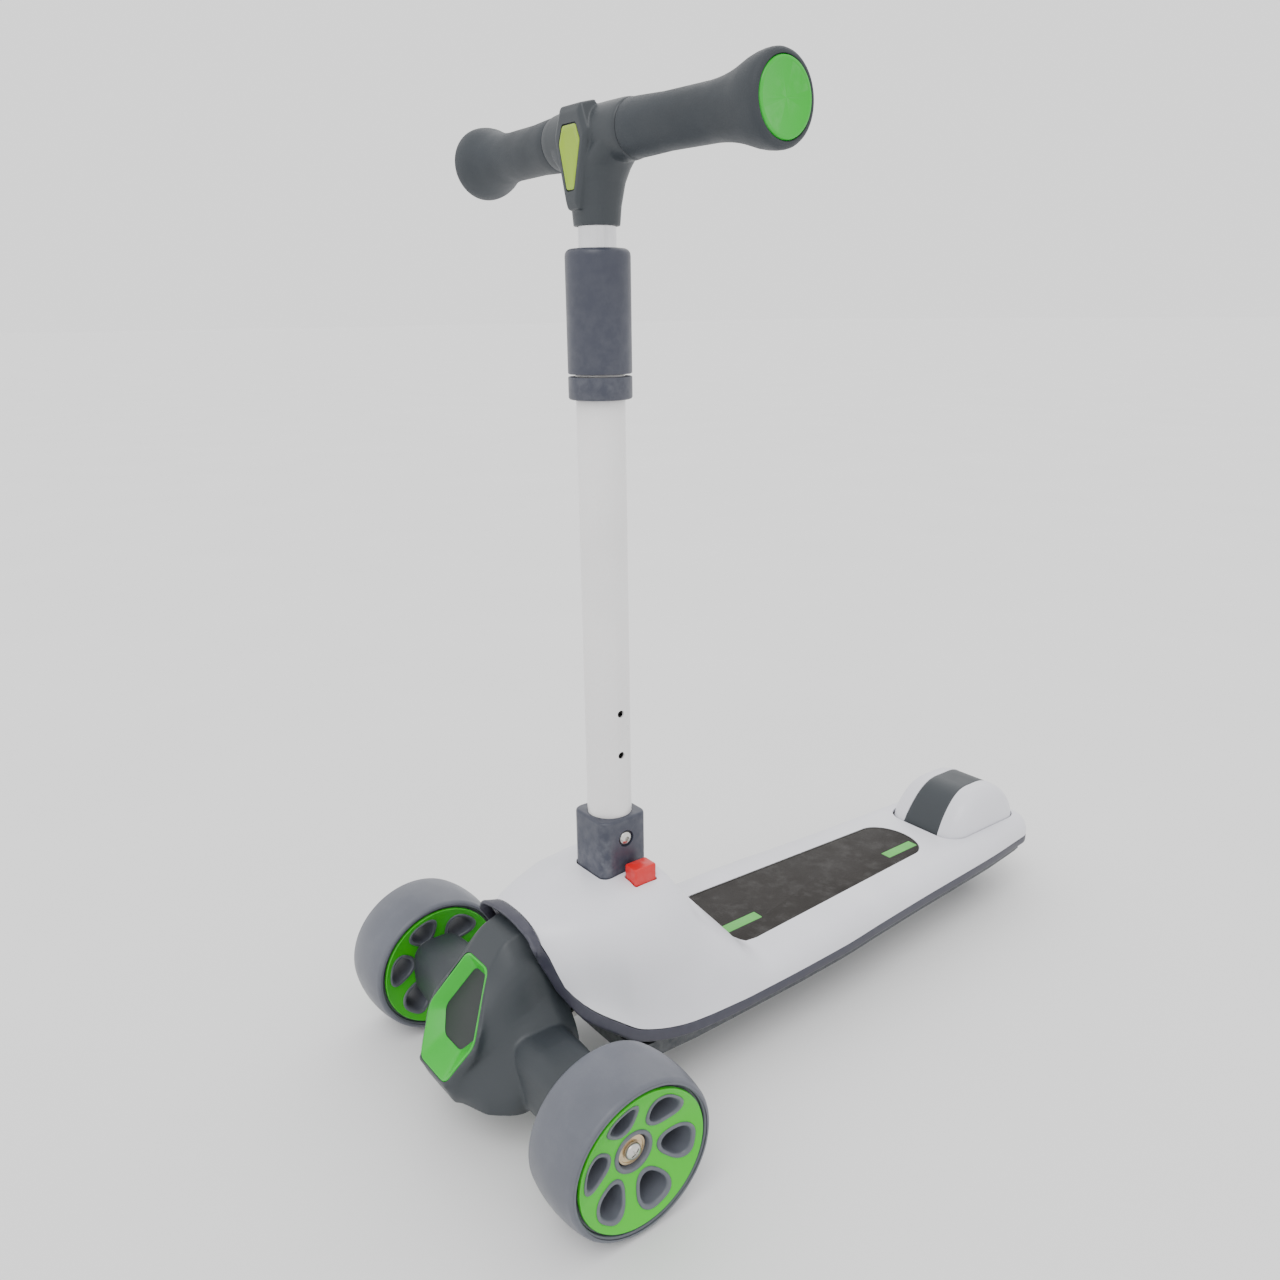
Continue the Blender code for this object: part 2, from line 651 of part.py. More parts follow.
def cheek():
    """Block with a rounded bottom that holds one end of the rear axle."""
    half = CHEEK_LENGTH / 2
    top = TRAY_BOTTOM + TRAY_WALL / 2 + 0.012
    outline = [(-half, top), (-half, TRAY_BOTTOM - 0.002)]
    steps = 6
    for k in range(steps + 1):
        angle = pi + pi * k / steps
        outline.append((0.75 * half * cos(angle), CHEEK_BOTTOM + 0.010 + 0.010 * sin(angle)))
    outline += [(half, TRAY_BOTTOM - 0.002), (half, top)]
    rings = [[(x, y, z) for y, z in outline] for x in (-CHEEK_WIDTH / 2, CHEEK_WIDTH / 2)]
    return skinned(rings)


def screw_places(stations):
    places = []
    for y in (HOOD_BACK + SCREW_BEHIND_HOOD, REAR_AXLE_Y - SCREW_AHEAD_OF_AXLE):
        x = edge_half_width(y, stations) - 0.020
        places += [(x, y), (-x, y)]
    return places


def deck_screw(name, look, body, place):
    """Screw that clamps the tray to the shell from below, with its head sunk in the tray's floor."""
    head = TRAY_BOTTOM + GAP
    seat = screw_seat()
    tip = DECK_TOP - SHELL_WALL - 0.006
    profile = ((0.0, head), (SCREW_HEAD_RADIUS, head), (SCREW_HEAD_RADIUS, seat),
               (SCREW_RADIUS, seat), (SCREW_RADIUS, tip), (0.0, tip))
    return add_piece(name, turned(profile, 10), look, body, (*place, 0.0))


def merge(shape, other):
    mesh = bpy.data.meshes.new("merge")
    other.to_mesh(mesh)
    other.free()
    shape.from_mesh(mesh)
    bpy.data.meshes.remove(mesh)


# ------------------------------------------------------------------ rear axle and brake
def rear_axle(look, body):
    """Bolt through both cheeks, with its head on the left and a nut's face on the right."""
    end = REAR_WHEEL_WIDTH / 2 + FORK_CLEARANCE + CHEEK_WIDTH + GAP
    profile = ((0.0, -end), (AXLE_RADIUS - GAP, -end), (AXLE_RADIUS - GAP, end),
               (AXLE_HEAD_RADIUS, end), (AXLE_HEAD_RADIUS, end + AXLE_HEAD_HEIGHT), (0.0,
                                                                                     end + AXLE_HEAD_HEIGHT))
    return add_piece("rear_axle_bolt", turned(profile, 16, "X"), look, body,
                     (0.0, REAR_AXLE_Y, REAR_WHEEL_RADIUS))


def rear_axle_nut(look, body):
    end = REAR_WHEEL_WIDTH / 2 + FORK_CLEARANCE + CHEEK_WIDTH + GAP
    shape = nut(AXLE_RADIUS + GAP, AXLE_HEAD_RADIUS, -end - 0.005, -end, "X")
    return add_piece("rear_axle_nut", shape, look, body, (0.0, REAR_AXLE_Y, REAR_WHEEL_RADIUS))


def brake_outline(spread=0.0):
    middle = (BRAKE_FRONT + BRAKE_BACK) / 2
    half_y = (BRAKE_BACK - BRAKE_FRONT) / 2 + spread
    return rounded_rectangle(BRAKE_HALF_WIDTH + spread, half_y, BRAKE_CORNER + spread, 5, (0.0, middle))


def dome_level(share, inset=0.0):
    """Height, front, back, half width and corner of one level; share is 0 at the base, 1 on top."""
    high = BRAKE_TOP - inset
    low = DECK_TOP - 0.010
    z = low + (high - low) * sin(pi / 2 * share)
    front = BRAKE_FRONT + 0.048 * share ** 1.3 + inset
    back = BRAKE_BACK - 0.044 * share ** 1.7 - inset
    half_x = BRAKE_HALF_WIDTH - 0.021 * share ** 2.4 - inset
    corner = min(BRAKE_CORNER * (1 - 0.45 * share), 0.95 * (back - front) / 2)
    return z, front, back, half_x, corner


def dome_ring(share, inset=0.0):
    z, front, back, half_x, corner = dome_level(share, inset)
    outline = rounded_rectangle(half_x, (back - front) / 2, corner, 4, (0.0, (front + back) / 2))
    return [(x, y, z) for x, y in outline]


def dome_point(share, x, inset, behind):
    """Point of the dome's front or back face at a distance from the middle."""
    z, front, back, half_x, corner = dome_level(share, inset)
    past = max(0.0, abs(x) - (half_x - corner))
    drop = corner - (corner ** 2 - min(past, corner) ** 2) ** 0.5
    return (x, back - drop if behind else front + drop, z)


def brake_cover(look, body):
    """White half-shell over the rear wheel, open underneath, with a bed for the dark strip."""
    inside = [dome_ring(share, BRAKE_WALL) for share in reversed(DOME_LEVELS)]
    outside = [dome_ring(share) for share in DOME_LEVELS]
    piece = add_piece("brake_cover", skinned(inside + outside), look, body)
    bed = cut(piece, dome_band(GAP, -0.010, BRAKE_STRIP_DEPTH + GAP, 0.005))
    bed.use_self = True
    x, y, z = brake_pin_place()
    for side in (1, -1):
        place = (side * COVER_LUG_X, y, 0.0)
        lug = hinge_lug(LUG_HALF_WIDTH, -0.0055, 0.0095, 0.0055, 0.0080)
        join(piece, lug, place).use_self = True
    cut(piece, bore(BRAKE_PIN_RADIUS + RUNNING_GAP, -0.03, 0.03, "X"), (x, y, z)).use_self = True
    return piece


def dome_band(spread, outer_inset, inner_inset, longer=0.0):
    """Band over the dome's middle, between two depths; it narrows towards the top."""
    front = [STRIP_FRONT_SHARE - longer] + [share for share in DOME_LEVELS if share > STRIP_FRONT_SHARE]
    back = [share for share in reversed(DOME_LEVELS) if share > STRIP_BACK_SHARE] + [STRIP_BACK_SHARE - longer]
    rings = []
    for share, behind in [(share, False) for share in front] + [(share, True) for share in back]:
        half = BRAKE_STRIP_HALF_WIDTH * (1.1 - 0.2 * share) + spread
        across = [half * k for k in (-1.0, -0.75, -0.4, 0.0, 0.4, 0.75, 1.0)]
        outer = [dome_point(share, x, outer_inset, behind) for x in across]
        inner = [dome_point(share, x, inner_inset, behind) for x in reversed(across)]
        rings.append(outer + inner)
    return skinned(rings)


def brake_strip(look, body):
    """Dark inlay over the brake's middle."""
    return add_piece("brake_strip", dome_band(0.0, 0.0, BRAKE_STRIP_DEPTH), look, body)


def brake_shoe(look, body):
    """Steel tongue under the cover that rubs on the rear tyre."""
    low = 2 * REAR_WHEEL_RADIUS + BRAKE_SHOE_GAP
    high = BRAKE_TOP - BRAKE_WALL - GAP
    shape = box(REAR_WHEEL_WIDTH / 2, 0.010, low, high - 0.0015)
    return add_piece("brake_shoe", shape, look, body, (0.0, REAR_AXLE_Y, 0.0))


def brake_pin_place():
    return (0.0, REAR_AXLE_Y - REAR_WHEEL_RADIUS - BRAKE_PIN_AHEAD, BRAKE_PIN_HEIGHT)


def hinge_lug(half_width, low, high, ahead, behind):
    """Block round the brake's pin, across the middle of its own width."""
    x, y, z = brake_pin_place()
    return box(half_width, (ahead + behind) / 2, z + low, z + high, (0.0, (behind - ahead) / 2))


def brake_pin(look, body):
    reach = TRAY_LUG_X + LUG_HALF_WIDTH
    return add_piece("brake_pin", rod(BRAKE_PIN_RADIUS, -reach, reach, "X", 12), look, body,
                     brake_pin_place())


def coil(radius, wire, turns, low, high, sides=4, steps=8):
    """Helical wire along +Z with flat-cut ends."""
    rings = []
    total = int(turns * steps)
    for k in range(total + 1):
        angle = 2 * pi * k / steps
        centre = Vector((radius * cos(angle), radius * sin(angle), low + (high - low) * k / total))
        outward = Vector((cos(angle), sin(angle), 0.0))
        up = Vector((0.0, 0.0, 1.0))
        rings.append([centre + outward * (wire * cos(2 * pi * j / sides)) + up * (wire * sin(2 * pi * j / sides))
                      for j in range(sides)])
    return skinned(rings)


def brake_spring(look, body):
    """Torsion spring round the brake's pin."""
    shape = coil(BRAKE_PIN_RADIUS + 0.0011, 0.0007, 5, -0.006, 0.006)
    shape.transform(Matrix.Rotation(pi / 2, 4, "Y"))
    return add_piece("brake_spring", shape, look, body, brake_pin_place())


# ------------------------------------------------------------------ wheels
def tyre(name, look, body, radius, width, bore, crown, place):
    half = width / 2
    shoulder = radius - crown
    profile = [(bore, -half + 0.002), (shoulder - 0.003, -half), (shoulder, -half + 0.002)]
    steps = 4
    for k in range(1, steps):
        share = -1 + 2 * k / steps
        profile.append((shoulder + crown * (1 - share * share), share * (half - 0.002)))
    profile += [(shoulder, half - 0.002), (shoulder - 0.003, half), (bore, half - 0.002)]
    return add_piece(name, turned(profile, 36, "X"), look, body, place)


def bowl_depth(radius):
    """How far the wheel's face lies below its rim at a radius."""
    share = min(1.0, radius / DISC_RADIUS)
    return DISC_DEPTH * (1 - share * share) ** 0.85


def tunnel_outline(radius, steps=9):
    """Rounded triangle with one corner towards the hub."""
    points = []
    for k in range(steps):
        angle = 2 * pi * k / steps
        r = radius * (1 + 0.085 * cos(3 * (angle - pi)))
        points.append((r * cos(angle), r * sin(angle)))
    return points


def tunnels(radius, low, high):
    """Six through-cutters on their circle, along X, as separate solids."""
    shape = bmesh.new()
    for k in range(TUNNEL_COUNT):
        turn = 2 * pi * k / TUNNEL_COUNT - radians(10)
        points = [(TUNNEL_CIRCLE_RADIUS + a, b) for a, b in tunnel_outline(radius)]
        flat = [(a * cos(turn) - b * sin(turn), a * sin(turn) + b * cos(turn)) for a, b in points]
        merge(shape, skinned([[(x, a, b) for a, b in flat] for x in (low, high)]))
    return shape


def tunnel_lips():
    """Six blocks that stand just proud of the discs, one round each tunnel."""
    half = FRONT_WHEEL_WIDTH / 2
    shape = bmesh.new()
    for k in range(TUNNEL_COUNT):
        turn = 2 * pi * k / TUNNEL_COUNT - radians(10)
        rings = []
        for side in (-1, 1):
            ring_points = []
            for a, b in tunnel_outline(TUNNEL_RADIUS + TUNNEL_RIM - 1.5 * GAP):
                a += TUNNEL_CIRCLE_RADIUS
                x = half - bowl_depth((a * a + b * b) ** 0.5) + TUNNEL_LIP_RISE
                ring_points.append((side * x, a * cos(turn) - b * sin(turn), a * sin(turn) + b * cos(turn)))
            rings.append(ring_points)
        merge(shape, skinned(rings))
    return shape


def wheel_core(name, look, body, place):
    """Grey hub with a bearing seat each side and six lipped tunnels through it."""
    half = FRONT_WHEEL_WIDTH / 2
    rim = TYRE_BORE_RADIUS - GAP
    seat = BEARING_OUTER_RADIUS + GAP
    inner = bearing_face() - BEARING_WIDTH - GAP
    under_disc = DISC_WALL + 2 * GAP
    side = [(seat - 0.003, inner), (seat, inner), (seat, bearing_face() + 0.003),
            (HUB_RING_RADIUS - 0.001, bearing_face() + 0.003)]
    for r in disc_radii():
        side.append((r, half - bowl_depth(r) - under_disc))
    side += [(DISC_RADIUS + GAP, half - DISC_EDGE_SETBACK - under_disc),
             (rim, half - DISC_EDGE_SETBACK - under_disc - 0.001)]
    profile = side + [(r, -x) for r, x in reversed(side)]
    piece = add_piece(name, turned(profile, 24, "X"), look, body, place)
    join(piece, tunnel_lips(), place)
    cut(piece, tunnels(TUNNEL_RADIUS, -0.04, 0.04), place)
    return piece


def disc_radii():
    return [share * DISC_RADIUS for share in (0.335, 0.60, 0.85)]


def bearing_face():
    """Distance of the bearings' outer faces from the wheel's middle plane."""
    return FRONT_WHEEL_WIDTH / 2 - DISC_DEPTH - 0.001


def wheel_disc(name, look, body, place, outward):
    """Green dished plate; outward is 1 when it faces +X and -1 when it faces -X."""
    half = FRONT_WHEEL_WIDTH / 2
    face = [(r, half - bowl_depth(r) - GAP) for r in disc_radii()]
    face.append((DISC_RADIUS, half - DISC_EDGE_SETBACK))
    profile = face + [(r, x - DISC_WALL) for r, x in reversed(face)]
    piece = add_piece(name, turned([(r, outward * x) for r, x in profile], 24, "X"), look, body, place)
    cut(piece, tunnels(TUNNEL_RADIUS + TUNNEL_RIM, -0.04, 0.04), place)
    return piece


def bearing_set(name, look, body, place, faces, bore=AXLE_RADIUS + RUNNING_GAP):
    """Two ball bearings and the spacer tube between their inner rings, as they sit on the bolt."""
    inner = faces - BEARING_WIDTH
    spacer = bore + 0.0015
    outer = BEARING_OUTER_RADIUS
    profile = ((bore, -faces), (outer, -faces), (outer, -inner), (spacer, -inner),
               (spacer, inner), (outer, inner), (outer, faces), (bore, faces))
    return add_piece(name, turned(profile, 24, "X"), look, body, place)


def front_wheel(side, name, looks, body):
    place = (side * FRONT_TRACK / 2, 0.0, FRONT_WHEEL_RADIUS)
    tyre(name + "_tyre", looks["tyre"], body, FRONT_WHEEL_RADIUS, FRONT_WHEEL_WIDTH, TYRE_BORE_RADIUS,
         TYRE_CROWN, place)
    wheel_core(name + "_core", looks["wheel_grey"], body, place)
    wheel_disc(name + "_outer_disc", looks["wheel_green"], body, place, side)
    wheel_disc(name + "_inner_disc", looks["wheel_green"], body, place, -side)
    bearing_set(name + "_bearings", looks["steel"], body, place, bearing_face())


def rear_wheel(looks, body):
    place = (0.0, REAR_AXLE_Y, REAR_WHEEL_RADIUS)
    tyre("rear_tyre", looks["tyre"], body, REAR_WHEEL_RADIUS, REAR_WHEEL_WIDTH, REAR_TYRE_BORE_RADIUS,
         TYRE_CROWN, place)
    half = REAR_WHEEL_WIDTH / 2
    seat = BEARING_OUTER_RADIUS + GAP
    inner = half - 0.002 - BEARING_WIDTH - GAP
    rim = REAR_TYRE_BORE_RADIUS - GAP
    side = [(seat - 0.003, inner), (seat, inner), (seat, half - 0.001), (seat + 0.004, half - 0.001),
            (seat + 0.006, half - 0.006), (rim - 0.005, half - 0.006), (rim - 0.004, half - 0.003), (rim,
                                                                                                     half - 0.003)]
    profile = side + [(r, -x) for r, x in reversed(side)]
    add_piece("rear_core", turned(profile, 20, "X"), looks["wheel_grey"], body, place)
    bearing_set("rear_bearings", looks["steel"], body, place, half - 0.002)


def axle_bolt(side, name, look, body):
    """Bolt that holds a front wheel: head in the wheel's dish, shank into the truck beam."""
    middle = FRONT_TRACK / 2
    head = middle + bearing_face() + GAP
    tip = BEAM_BORE_START
    profile = ((0.0, tip), (AXLE_RADIUS - GAP, tip), (AXLE_RADIUS - GAP, head),
               (AXLE_HEAD_RADIUS, head), (AXLE_HEAD_RADIUS, head + 0.6 * AXLE_HEAD_HEIGHT),
               (0.6 * AXLE_HEAD_RADIUS, head + AXLE_HEAD_HEIGHT), (0.0, head + AXLE_HEAD_HEIGHT))
    shape = turned([(r, side * x) for r, x in profile], 20, "X")
    return add_piece(name, shape, look, body, (0.0, 0.0, FRONT_WHEEL_RADIUS))


def axle_spacer(side, name, look, body):
    """Collar between the end of the truck beam and the wheel's inner bearing."""
    start = beam_end() + GAP
    end = FRONT_TRACK / 2 - bearing_face() - GAP
    low, high = sorted((side * start, side * end))
    shape = ring(AXLE_RADIUS + GAP, AXLE_RADIUS + 0.004, low, high, "X", 20)
    return add_piece(name, shape, look, body, (0.0, 0.0, FRONT_WHEEL_RADIUS))


def beam_end():
    return FRONT_TRACK / 2 - FRONT_WHEEL_WIDTH / 2 - ARM_WHEEL_GAP - NOSE_WALL


# ------------------------------------------------------------------ truck
def on_axis(height):
    """Point of the steering axis at a height above the ground."""
    return (0.0, PIVOT_Y - (height - PIVOT_HEIGHT) * sin(PIVOT_TILT) / cos(PIVOT_TILT), height)


def boss_centre():
    return on_axis(FRONT_WHEEL_RADIUS + 0.022)




def truck_beam(look, body):
    """Cross beam between the wheels with the arm and boss that turn on the kingpin."""
    half = TRUCK_BEAM_SIZE / 2
    z = FRONT_WHEEL_RADIUS
    reach = beam_end()
    piece = add_piece("truck_beam", box(reach, half, z - half, z + half), look, body)
    centre = Vector(boss_centre())
    arm = [[(x, half - 0.004, z - half + 0.001), (x, half - 0.004, z + half + 0.006),
            (x, centre.y, centre.z + 0.008), (x, centre.y, centre.z - 0.010)] for x in (-0.011, 0.011)]
    join(piece, skinned(arm))
    length = PIVOT_BOSS_LENGTH / 2
    join(piece, rod(PIVOT_BOSS_RADIUS, -length, length, segments=24), boss_centre(), TILT)
    cut(piece, bore(KINGPIN_RADIUS + RUNNING_GAP, -0.03, 0.03, segments=16), boss_centre(), TILT)
    for side in (1, -1):
        low, high = sorted((side * (BEAM_BORE_START - 0.001), side * (reach + 0.01)))
        cut(piece, bore(AXLE_RADIUS + GAP, low, high, "X", 16), (0.0, 0.0, z))
    return piece


def nose_sections(inset=0.0):
    """Outlines of the nose from the arch forward: y, then half outline points (x, height)."""
    lift = FRONT_WHEEL_RADIUS - NOSE_AXLE_HEIGHT
    rows = (
        (0.026, (0.016, 0.147), (0.030, 0.126), (0.036, 0.106), (0.052, 0.084), (0.056, 0.060),
         (0.052, 0.044)),
        (0.010, (0.017, 0.1555), (0.030, 0.138), (0.0375, 0.110), (0.053, 0.088), (0.060, 0.060),
         (0.055, 0.042)),
        (-0.008, (0.016, 0.1520), (0.031, 0.134), (0.041, 0.106), (0.054, 0.088), (0.064, 0.060),
         (0.058, 0.040)),
        (-0.025, (0.0165, 0.1345), (0.029, 0.122), (0.040, 0.101), (0.049, 0.086), (0.064, 0.060),
         (0.060, 0.040)),
        (-0.0475, (0.0350, 0.0950), (0.0352, 0.088), (0.0340, 0.080), (0.033, 0.072), (0.044, 0.054),
         (0.046, 0.040)),
        (-0.0595, (0.0270, 0.0742), (0.0268, 0.070), (0.0266, 0.066), (0.0266, 0.061), (0.0262, 0.050),
         (0.020, 0.040)),
        (-0.0640, (0.0225, 0.0664), (0.0231, 0.064), (0.0234, 0.061), (0.0233, 0.058), (0.0225, 0.053),
         (0.0205, 0.0485)),
        (-0.0680, (0.0190, 0.0600), (0.0196, 0.0595), (0.0199, 0.0588), (0.0199, 0.0582), (0.0195, 0.0575),
         (0.0185, 0.0570)),
    )
    rings = []
    for row in rows:
        half = [(x, z + lift) for x, z in row[1:]]
        y = row[0]
        middle_z = (half[0][1] + half[-1][1]) / 2
        y += inset if y < 0 else 0.0
        points = [(max(0.002, x - inset), z - inset if z > middle_z else z + inset) for x, z in half]
        rings.append([(x, y, z) for x, z in points] + [(-x, y, z) for x, z in reversed(points)])
    return rings


def arm_ring(x, scale):
    """Section of the arm that reaches to the wheel, at a distance from the middle."""
    low = FRONT_WHEEL_RADIUS - ARM_BELOW_AXLE
    high = FRONT_WHEEL_RADIUS + ARM_ABOVE_AXLE
    front, back = -0.030, 0.021
    mid_y, mid_z = (front + back) / 2, (low + high) / 2
    half_y, half_z = (back - front) / 2 * scale, (high - low) / 2 * scale
    points = []
    steps = 12
    for k in range(steps):
        angle = 2 * pi * k / steps
        c, s = cos(angle), sin(angle)
        bulge = 0.62
        points.append((x, mid_y + half_y * (abs(c) ** bulge) * (1 if c >= 0 else -1),
                       mid_z + half_z * (abs(s) ** bulge) * (1 if s >= 0 else -1)))
    return points


def front_shell(look, body):
    """Dark cowl over the truck: the nose and an arm out to each wheel, hollow from behind."""
    piece = add_piece("front_shell", skinned(nose_sections()), look, body)
    reach = FRONT_TRACK / 2 - FRONT_WHEEL_WIDTH / 2 - ARM_WHEEL_GAP
    arms = ((-reach, 0.86), (-0.070, 0.96), (0.070, 0.96), (reach, 0.86))
    join(piece, skinned([arm_ring(x, scale) for x, scale in arms]))
    inner = reach - NOSE_WALL
    hollow = ((-inner, 0.74), (-0.069, 0.84), (0.069, 0.84), (inner, 0.74))
    cut(piece, skinned([arm_ring(x, scale) for x, scale in hollow]))
    nose_hollow = nose_sections(NOSE_WALL)[:-1]
    behind = [(x * 1.02, y + 0.02, z) for x, y, z in nose_hollow[0]]
    cut(piece, skinned([behind] + nose_hollow))
    join(piece, badge_backing(), badge_place(), badge_turn())
    cut(piece, badge_recess(), badge_place(), badge_turn())
    cut(piece, bore(AXLE_RADIUS + 0.006, -reach - 0.02, reach + 0.02, "X", 20),
        (0.0, 0.0, FRONT_WHEEL_RADIUS))
    cut(piece, box(0.0301, 0.040, -0.05, 0.0483), (0.0, 0.0607, 0.0))
    return piece


def badge_outline(halves, levels, radius):
    """Six-sided outline in the badge's own plane: (across, up the slope from its top edge)."""
    right = list(zip(halves, levels))
    corners = [(half, -level) for half, level in right] + [(-half, -level) for half,
                                                           level in reversed(right)]
    return softened(corners, radius)


def badge_rim(spread=0.0):
    halves = (BADGE_TOP_HALF + spread, BADGE_SHOULDER_HALF + spread, BADGE_BOTTOM_HALF + spread)
    return badge_outline(halves, (-spread, BADGE_SHOULDER_DOWN, BADGE_DOWN + spread), 0.005)


def badge_floor(spread=0.0):
    halves = [half + spread for half in BADGE_FLOOR_HALVES]
    levels = (BADGE_FLOOR_TOP - spread, BADGE_FLOOR_SHOULDER, BADGE_FLOOR_BOTTOM + spread)
    return badge_outline(halves, levels, 0.004)


def badge_rings(levels):
    return [[(a, b, height) for a, b in outline] for outline, height in levels]


def front_bezel(look, body):
    """Green ring on the nose with walls that fall in towards the recess's dark floor."""
    rings = badge_rings((
        (badge_rim(), -0.0002),
        (badge_rim(-BADGE_LIP), 0.0003),
        (badge_floor(), -BADGE_DEPTH),
        (badge_floor(BADGE_WALL), -BADGE_DEPTH - 0.001),
        (badge_rim(), -BADGE_EDGE),
    ))
    return add_piece("front_bezel", skinned(rings, loop=True), look, body, badge_place(), badge_turn())


def badge_recess():
    """Room for the green ring, down to the floor that shows inside it."""
    return skinned(badge_rings((
        (badge_rim(GAP), 0.010),
        (badge_rim(GAP), -BADGE_EDGE - PANEL_GAP),
        (badge_floor(BADGE_WALL + 2 * PANEL_GAP), -BADGE_DEPTH - 0.001 - GAP),
    )))


def badge_backing():
    """Solid behind the recess, so that the nose's wall goes round it."""
    return skinned(badge_rings((
        (badge_rim(0.0006), -0.0012),
        (badge_rim(0.0006), -0.0060),
        (badge_floor(0.0030), -BADGE_DEPTH - 0.001 - GAP - NOSE_WALL),
    )))


def badge_place():
    return (0.0, BADGE_TOP_Y, BADGE_TOP_HEIGHT)


def badge_turn():
    return (BADGE_SLOPE, 0.0, 0.0)


def lower_ear():
    """Distance along the steering axis from the boss's middle to the bracket's lower ear."""
    return PIVOT_BOSS_LENGTH / 2 + GAP


def upper_ear():
    return PIVOT_BOSS_LENGTH / 2 + 2 * GAP + BUSH_HEIGHT


def bracket_back(height):
    """How far back the middle of the bracket's back plate lies at a height."""
    middle = PIVOT_BOSS_RADIUS + 0.004 + BRACKET_WALL / 2
    _, y, z = boss_centre()
    along = (height - z - middle * sin(PIVOT_TILT)) / cos(PIVOT_TILT)
    return y + middle * cos(PIVOT_TILT) - along * sin(PIVOT_TILT)


def receiver_half():
    return SOCKET_TONGUE / 2 + RUNNING_GAP + RECEIVER_WALL


def pivot_bracket(look, body):
    """Two ears and a back plate that hold the kingpin, with a foot against the stem's receiver."""
    low, high = -lower_ear(), upper_ear()
    front = -BRACKET_REACH
    back = PIVOT_BOSS_RADIUS + 0.004
    outline = [(front, high), (back, high), (back, low), (front, low), (front, low - BRACKET_WALL),
               (back + BRACKET_WALL, low - BRACKET_WALL), (back + BRACKET_WALL, high + BRACKET_WALL),
               (front, high + BRACKET_WALL)]
    shape = skinned([[(x, y, z) for y, z in outline] for x in (-BRACKET_HALF_WIDTH, BRACKET_HALF_WIDTH)])
    piece = add_piece("pivot_bracket", shape, look, body, boss_centre(), TILT)
    cut(piece, bore(KINGPIN_RADIUS + GAP, -0.05, 0.05), boss_centre(), TILT)
    low, high = BRACKET_FOOT_HEIGHTS
    wall = STEM_Y - receiver_half() - GAP
    foot = ((bracket_back(low), low), (wall, low), (wall, high), (bracket_back(high), high))
    half = BRACKET_HALF_WIDTH - 0.001
    join(piece, skinned([[(x, y, z) for y, z in foot] for x in (-half, half)]))
    return piece


def centring_bush(look, body):
    """Rubber ring between the boss and the upper ear; it twists as the truck turns."""
    low = PIVOT_BOSS_LENGTH / 2 + GAP
    shape = ring(KINGPIN_RADIUS + RUNNING_GAP, PIVOT_BOSS_RADIUS - 0.001, low, low + BUSH_HEIGHT)
    return add_piece("centring_bush", shape, look, body, boss_centre(), TILT)


def kingpin(look, body):
    """Bolt down the steering axis, its head above the upper ear."""
    head = upper_ear() + BRACKET_WALL + GAP
    tip = -lower_ear() - BRACKET_WALL - GAP - KINGPIN_NUT_HEIGHT - 0.002
    r = KINGPIN_RADIUS
    wide = r + 0.004
    profile = ((0.0, tip), (r, tip), (r, head), (wide, head), (wide, head + 0.005), (0.0, head + 0.005))
    return add_piece("kingpin", turned(profile, 16), look, body, boss_centre(), TILT)


def kingpin_nut(look, body):
    high = -lower_ear() - BRACKET_WALL - GAP
    shape = nut(KINGPIN_RADIUS + GAP, KINGPIN_RADIUS + 0.0035, high - KINGPIN_NUT_HEIGHT, high)
    return add_piece("kingpin_nut", shape, look, body, boss_centre(), TILT)


# ------------------------------------------------------------------ stem
def stem_receiver(look, body):
    """Square socket under the hood that the stem's tongue stands in."""
    inside = SOCKET_TONGUE / 2 + RUNNING_GAP
    outside = receiver_half()
    top = SOCKET_BASE - GAP
    piece = add_piece("stem_receiver", box(outside, outside, TRAY_BOTTOM + TRAY_WALL + GAP, top), look,
                      body, (0.0, STEM_Y, 0.0))
    x, y, _ = button_place()
    shelf = BUTTON_TOP - BUTTON_HEIGHT - BUTTON_SKIRT - BUTTON_SPRING_LENGTH - 2 * GAP
    join(piece, box((x + 0.006) / 2, 0.008, shelf - 0.004, shelf), ((x + 0.006) / 2, y, 0.0))
    cut(piece, box(inside, inside, TONGUE_BOTTOM - GAP, 0.3), (0.0, STEM_Y, 0.0))
    return piece


def socket_block(look, body):
    """Square block at the foot of the stem, with the tongue that goes into the receiver."""
    half = SOCKET_SIZE / 2
    piece = add_piece("socket_block", rounded_box(half, half, SOCKET_BASE, SOCKET_TOP, SOCKET_CORNER), look,
                      body, (0.0, STEM_Y, 0.0))
    join(piece, box(SOCKET_TONGUE / 2, SOCKET_TONGUE / 2, TONGUE_BOTTOM, SOCKET_BASE + 0.004),
         (0.0, STEM_Y, 0.0))
    cut(piece, bore(STEM_TUBE_RADIUS + GAP, tube_bottom() - GAP, 0.3, segments=32), (0.0, STEM_Y, 0.0))
    cut(piece, bore(SOCKET_BOLT_RADIUS + GAP, -0.05, 0.05, "X", 12), bolt_place())
    for side in (1, -1):
        low, high = sorted((side * (half - 0.0022), side * 0.05))
        cut(piece, bore(BOLT_HEAD_RADIUS + 0.001, low, high, "X", 20), bolt_place())
    return piece


def tube_bottom():
    return SOCKET_BASE + 0.012


def bolt_place():
    return (0.0, STEM_Y, SOCKET_BOLT_HEIGHT)


def socket_bolt(look, body):
    """Button-head bolt through block and tube."""
    face = SOCKET_SIZE / 2 - 0.0022 + GAP
    r = SOCKET_BOLT_RADIUS
    profile = ((0.0, -face - 0.0015), (r, -face - 0.0015), (r, face), (BOLT_HEAD_RADIUS, face),
               (0.6 * BOLT_HEAD_RADIUS, face + 0.003), (0.0, face + 0.003))
    return add_piece("socket_bolt", turned(profile, 16, "X"), look, body, bolt_place())


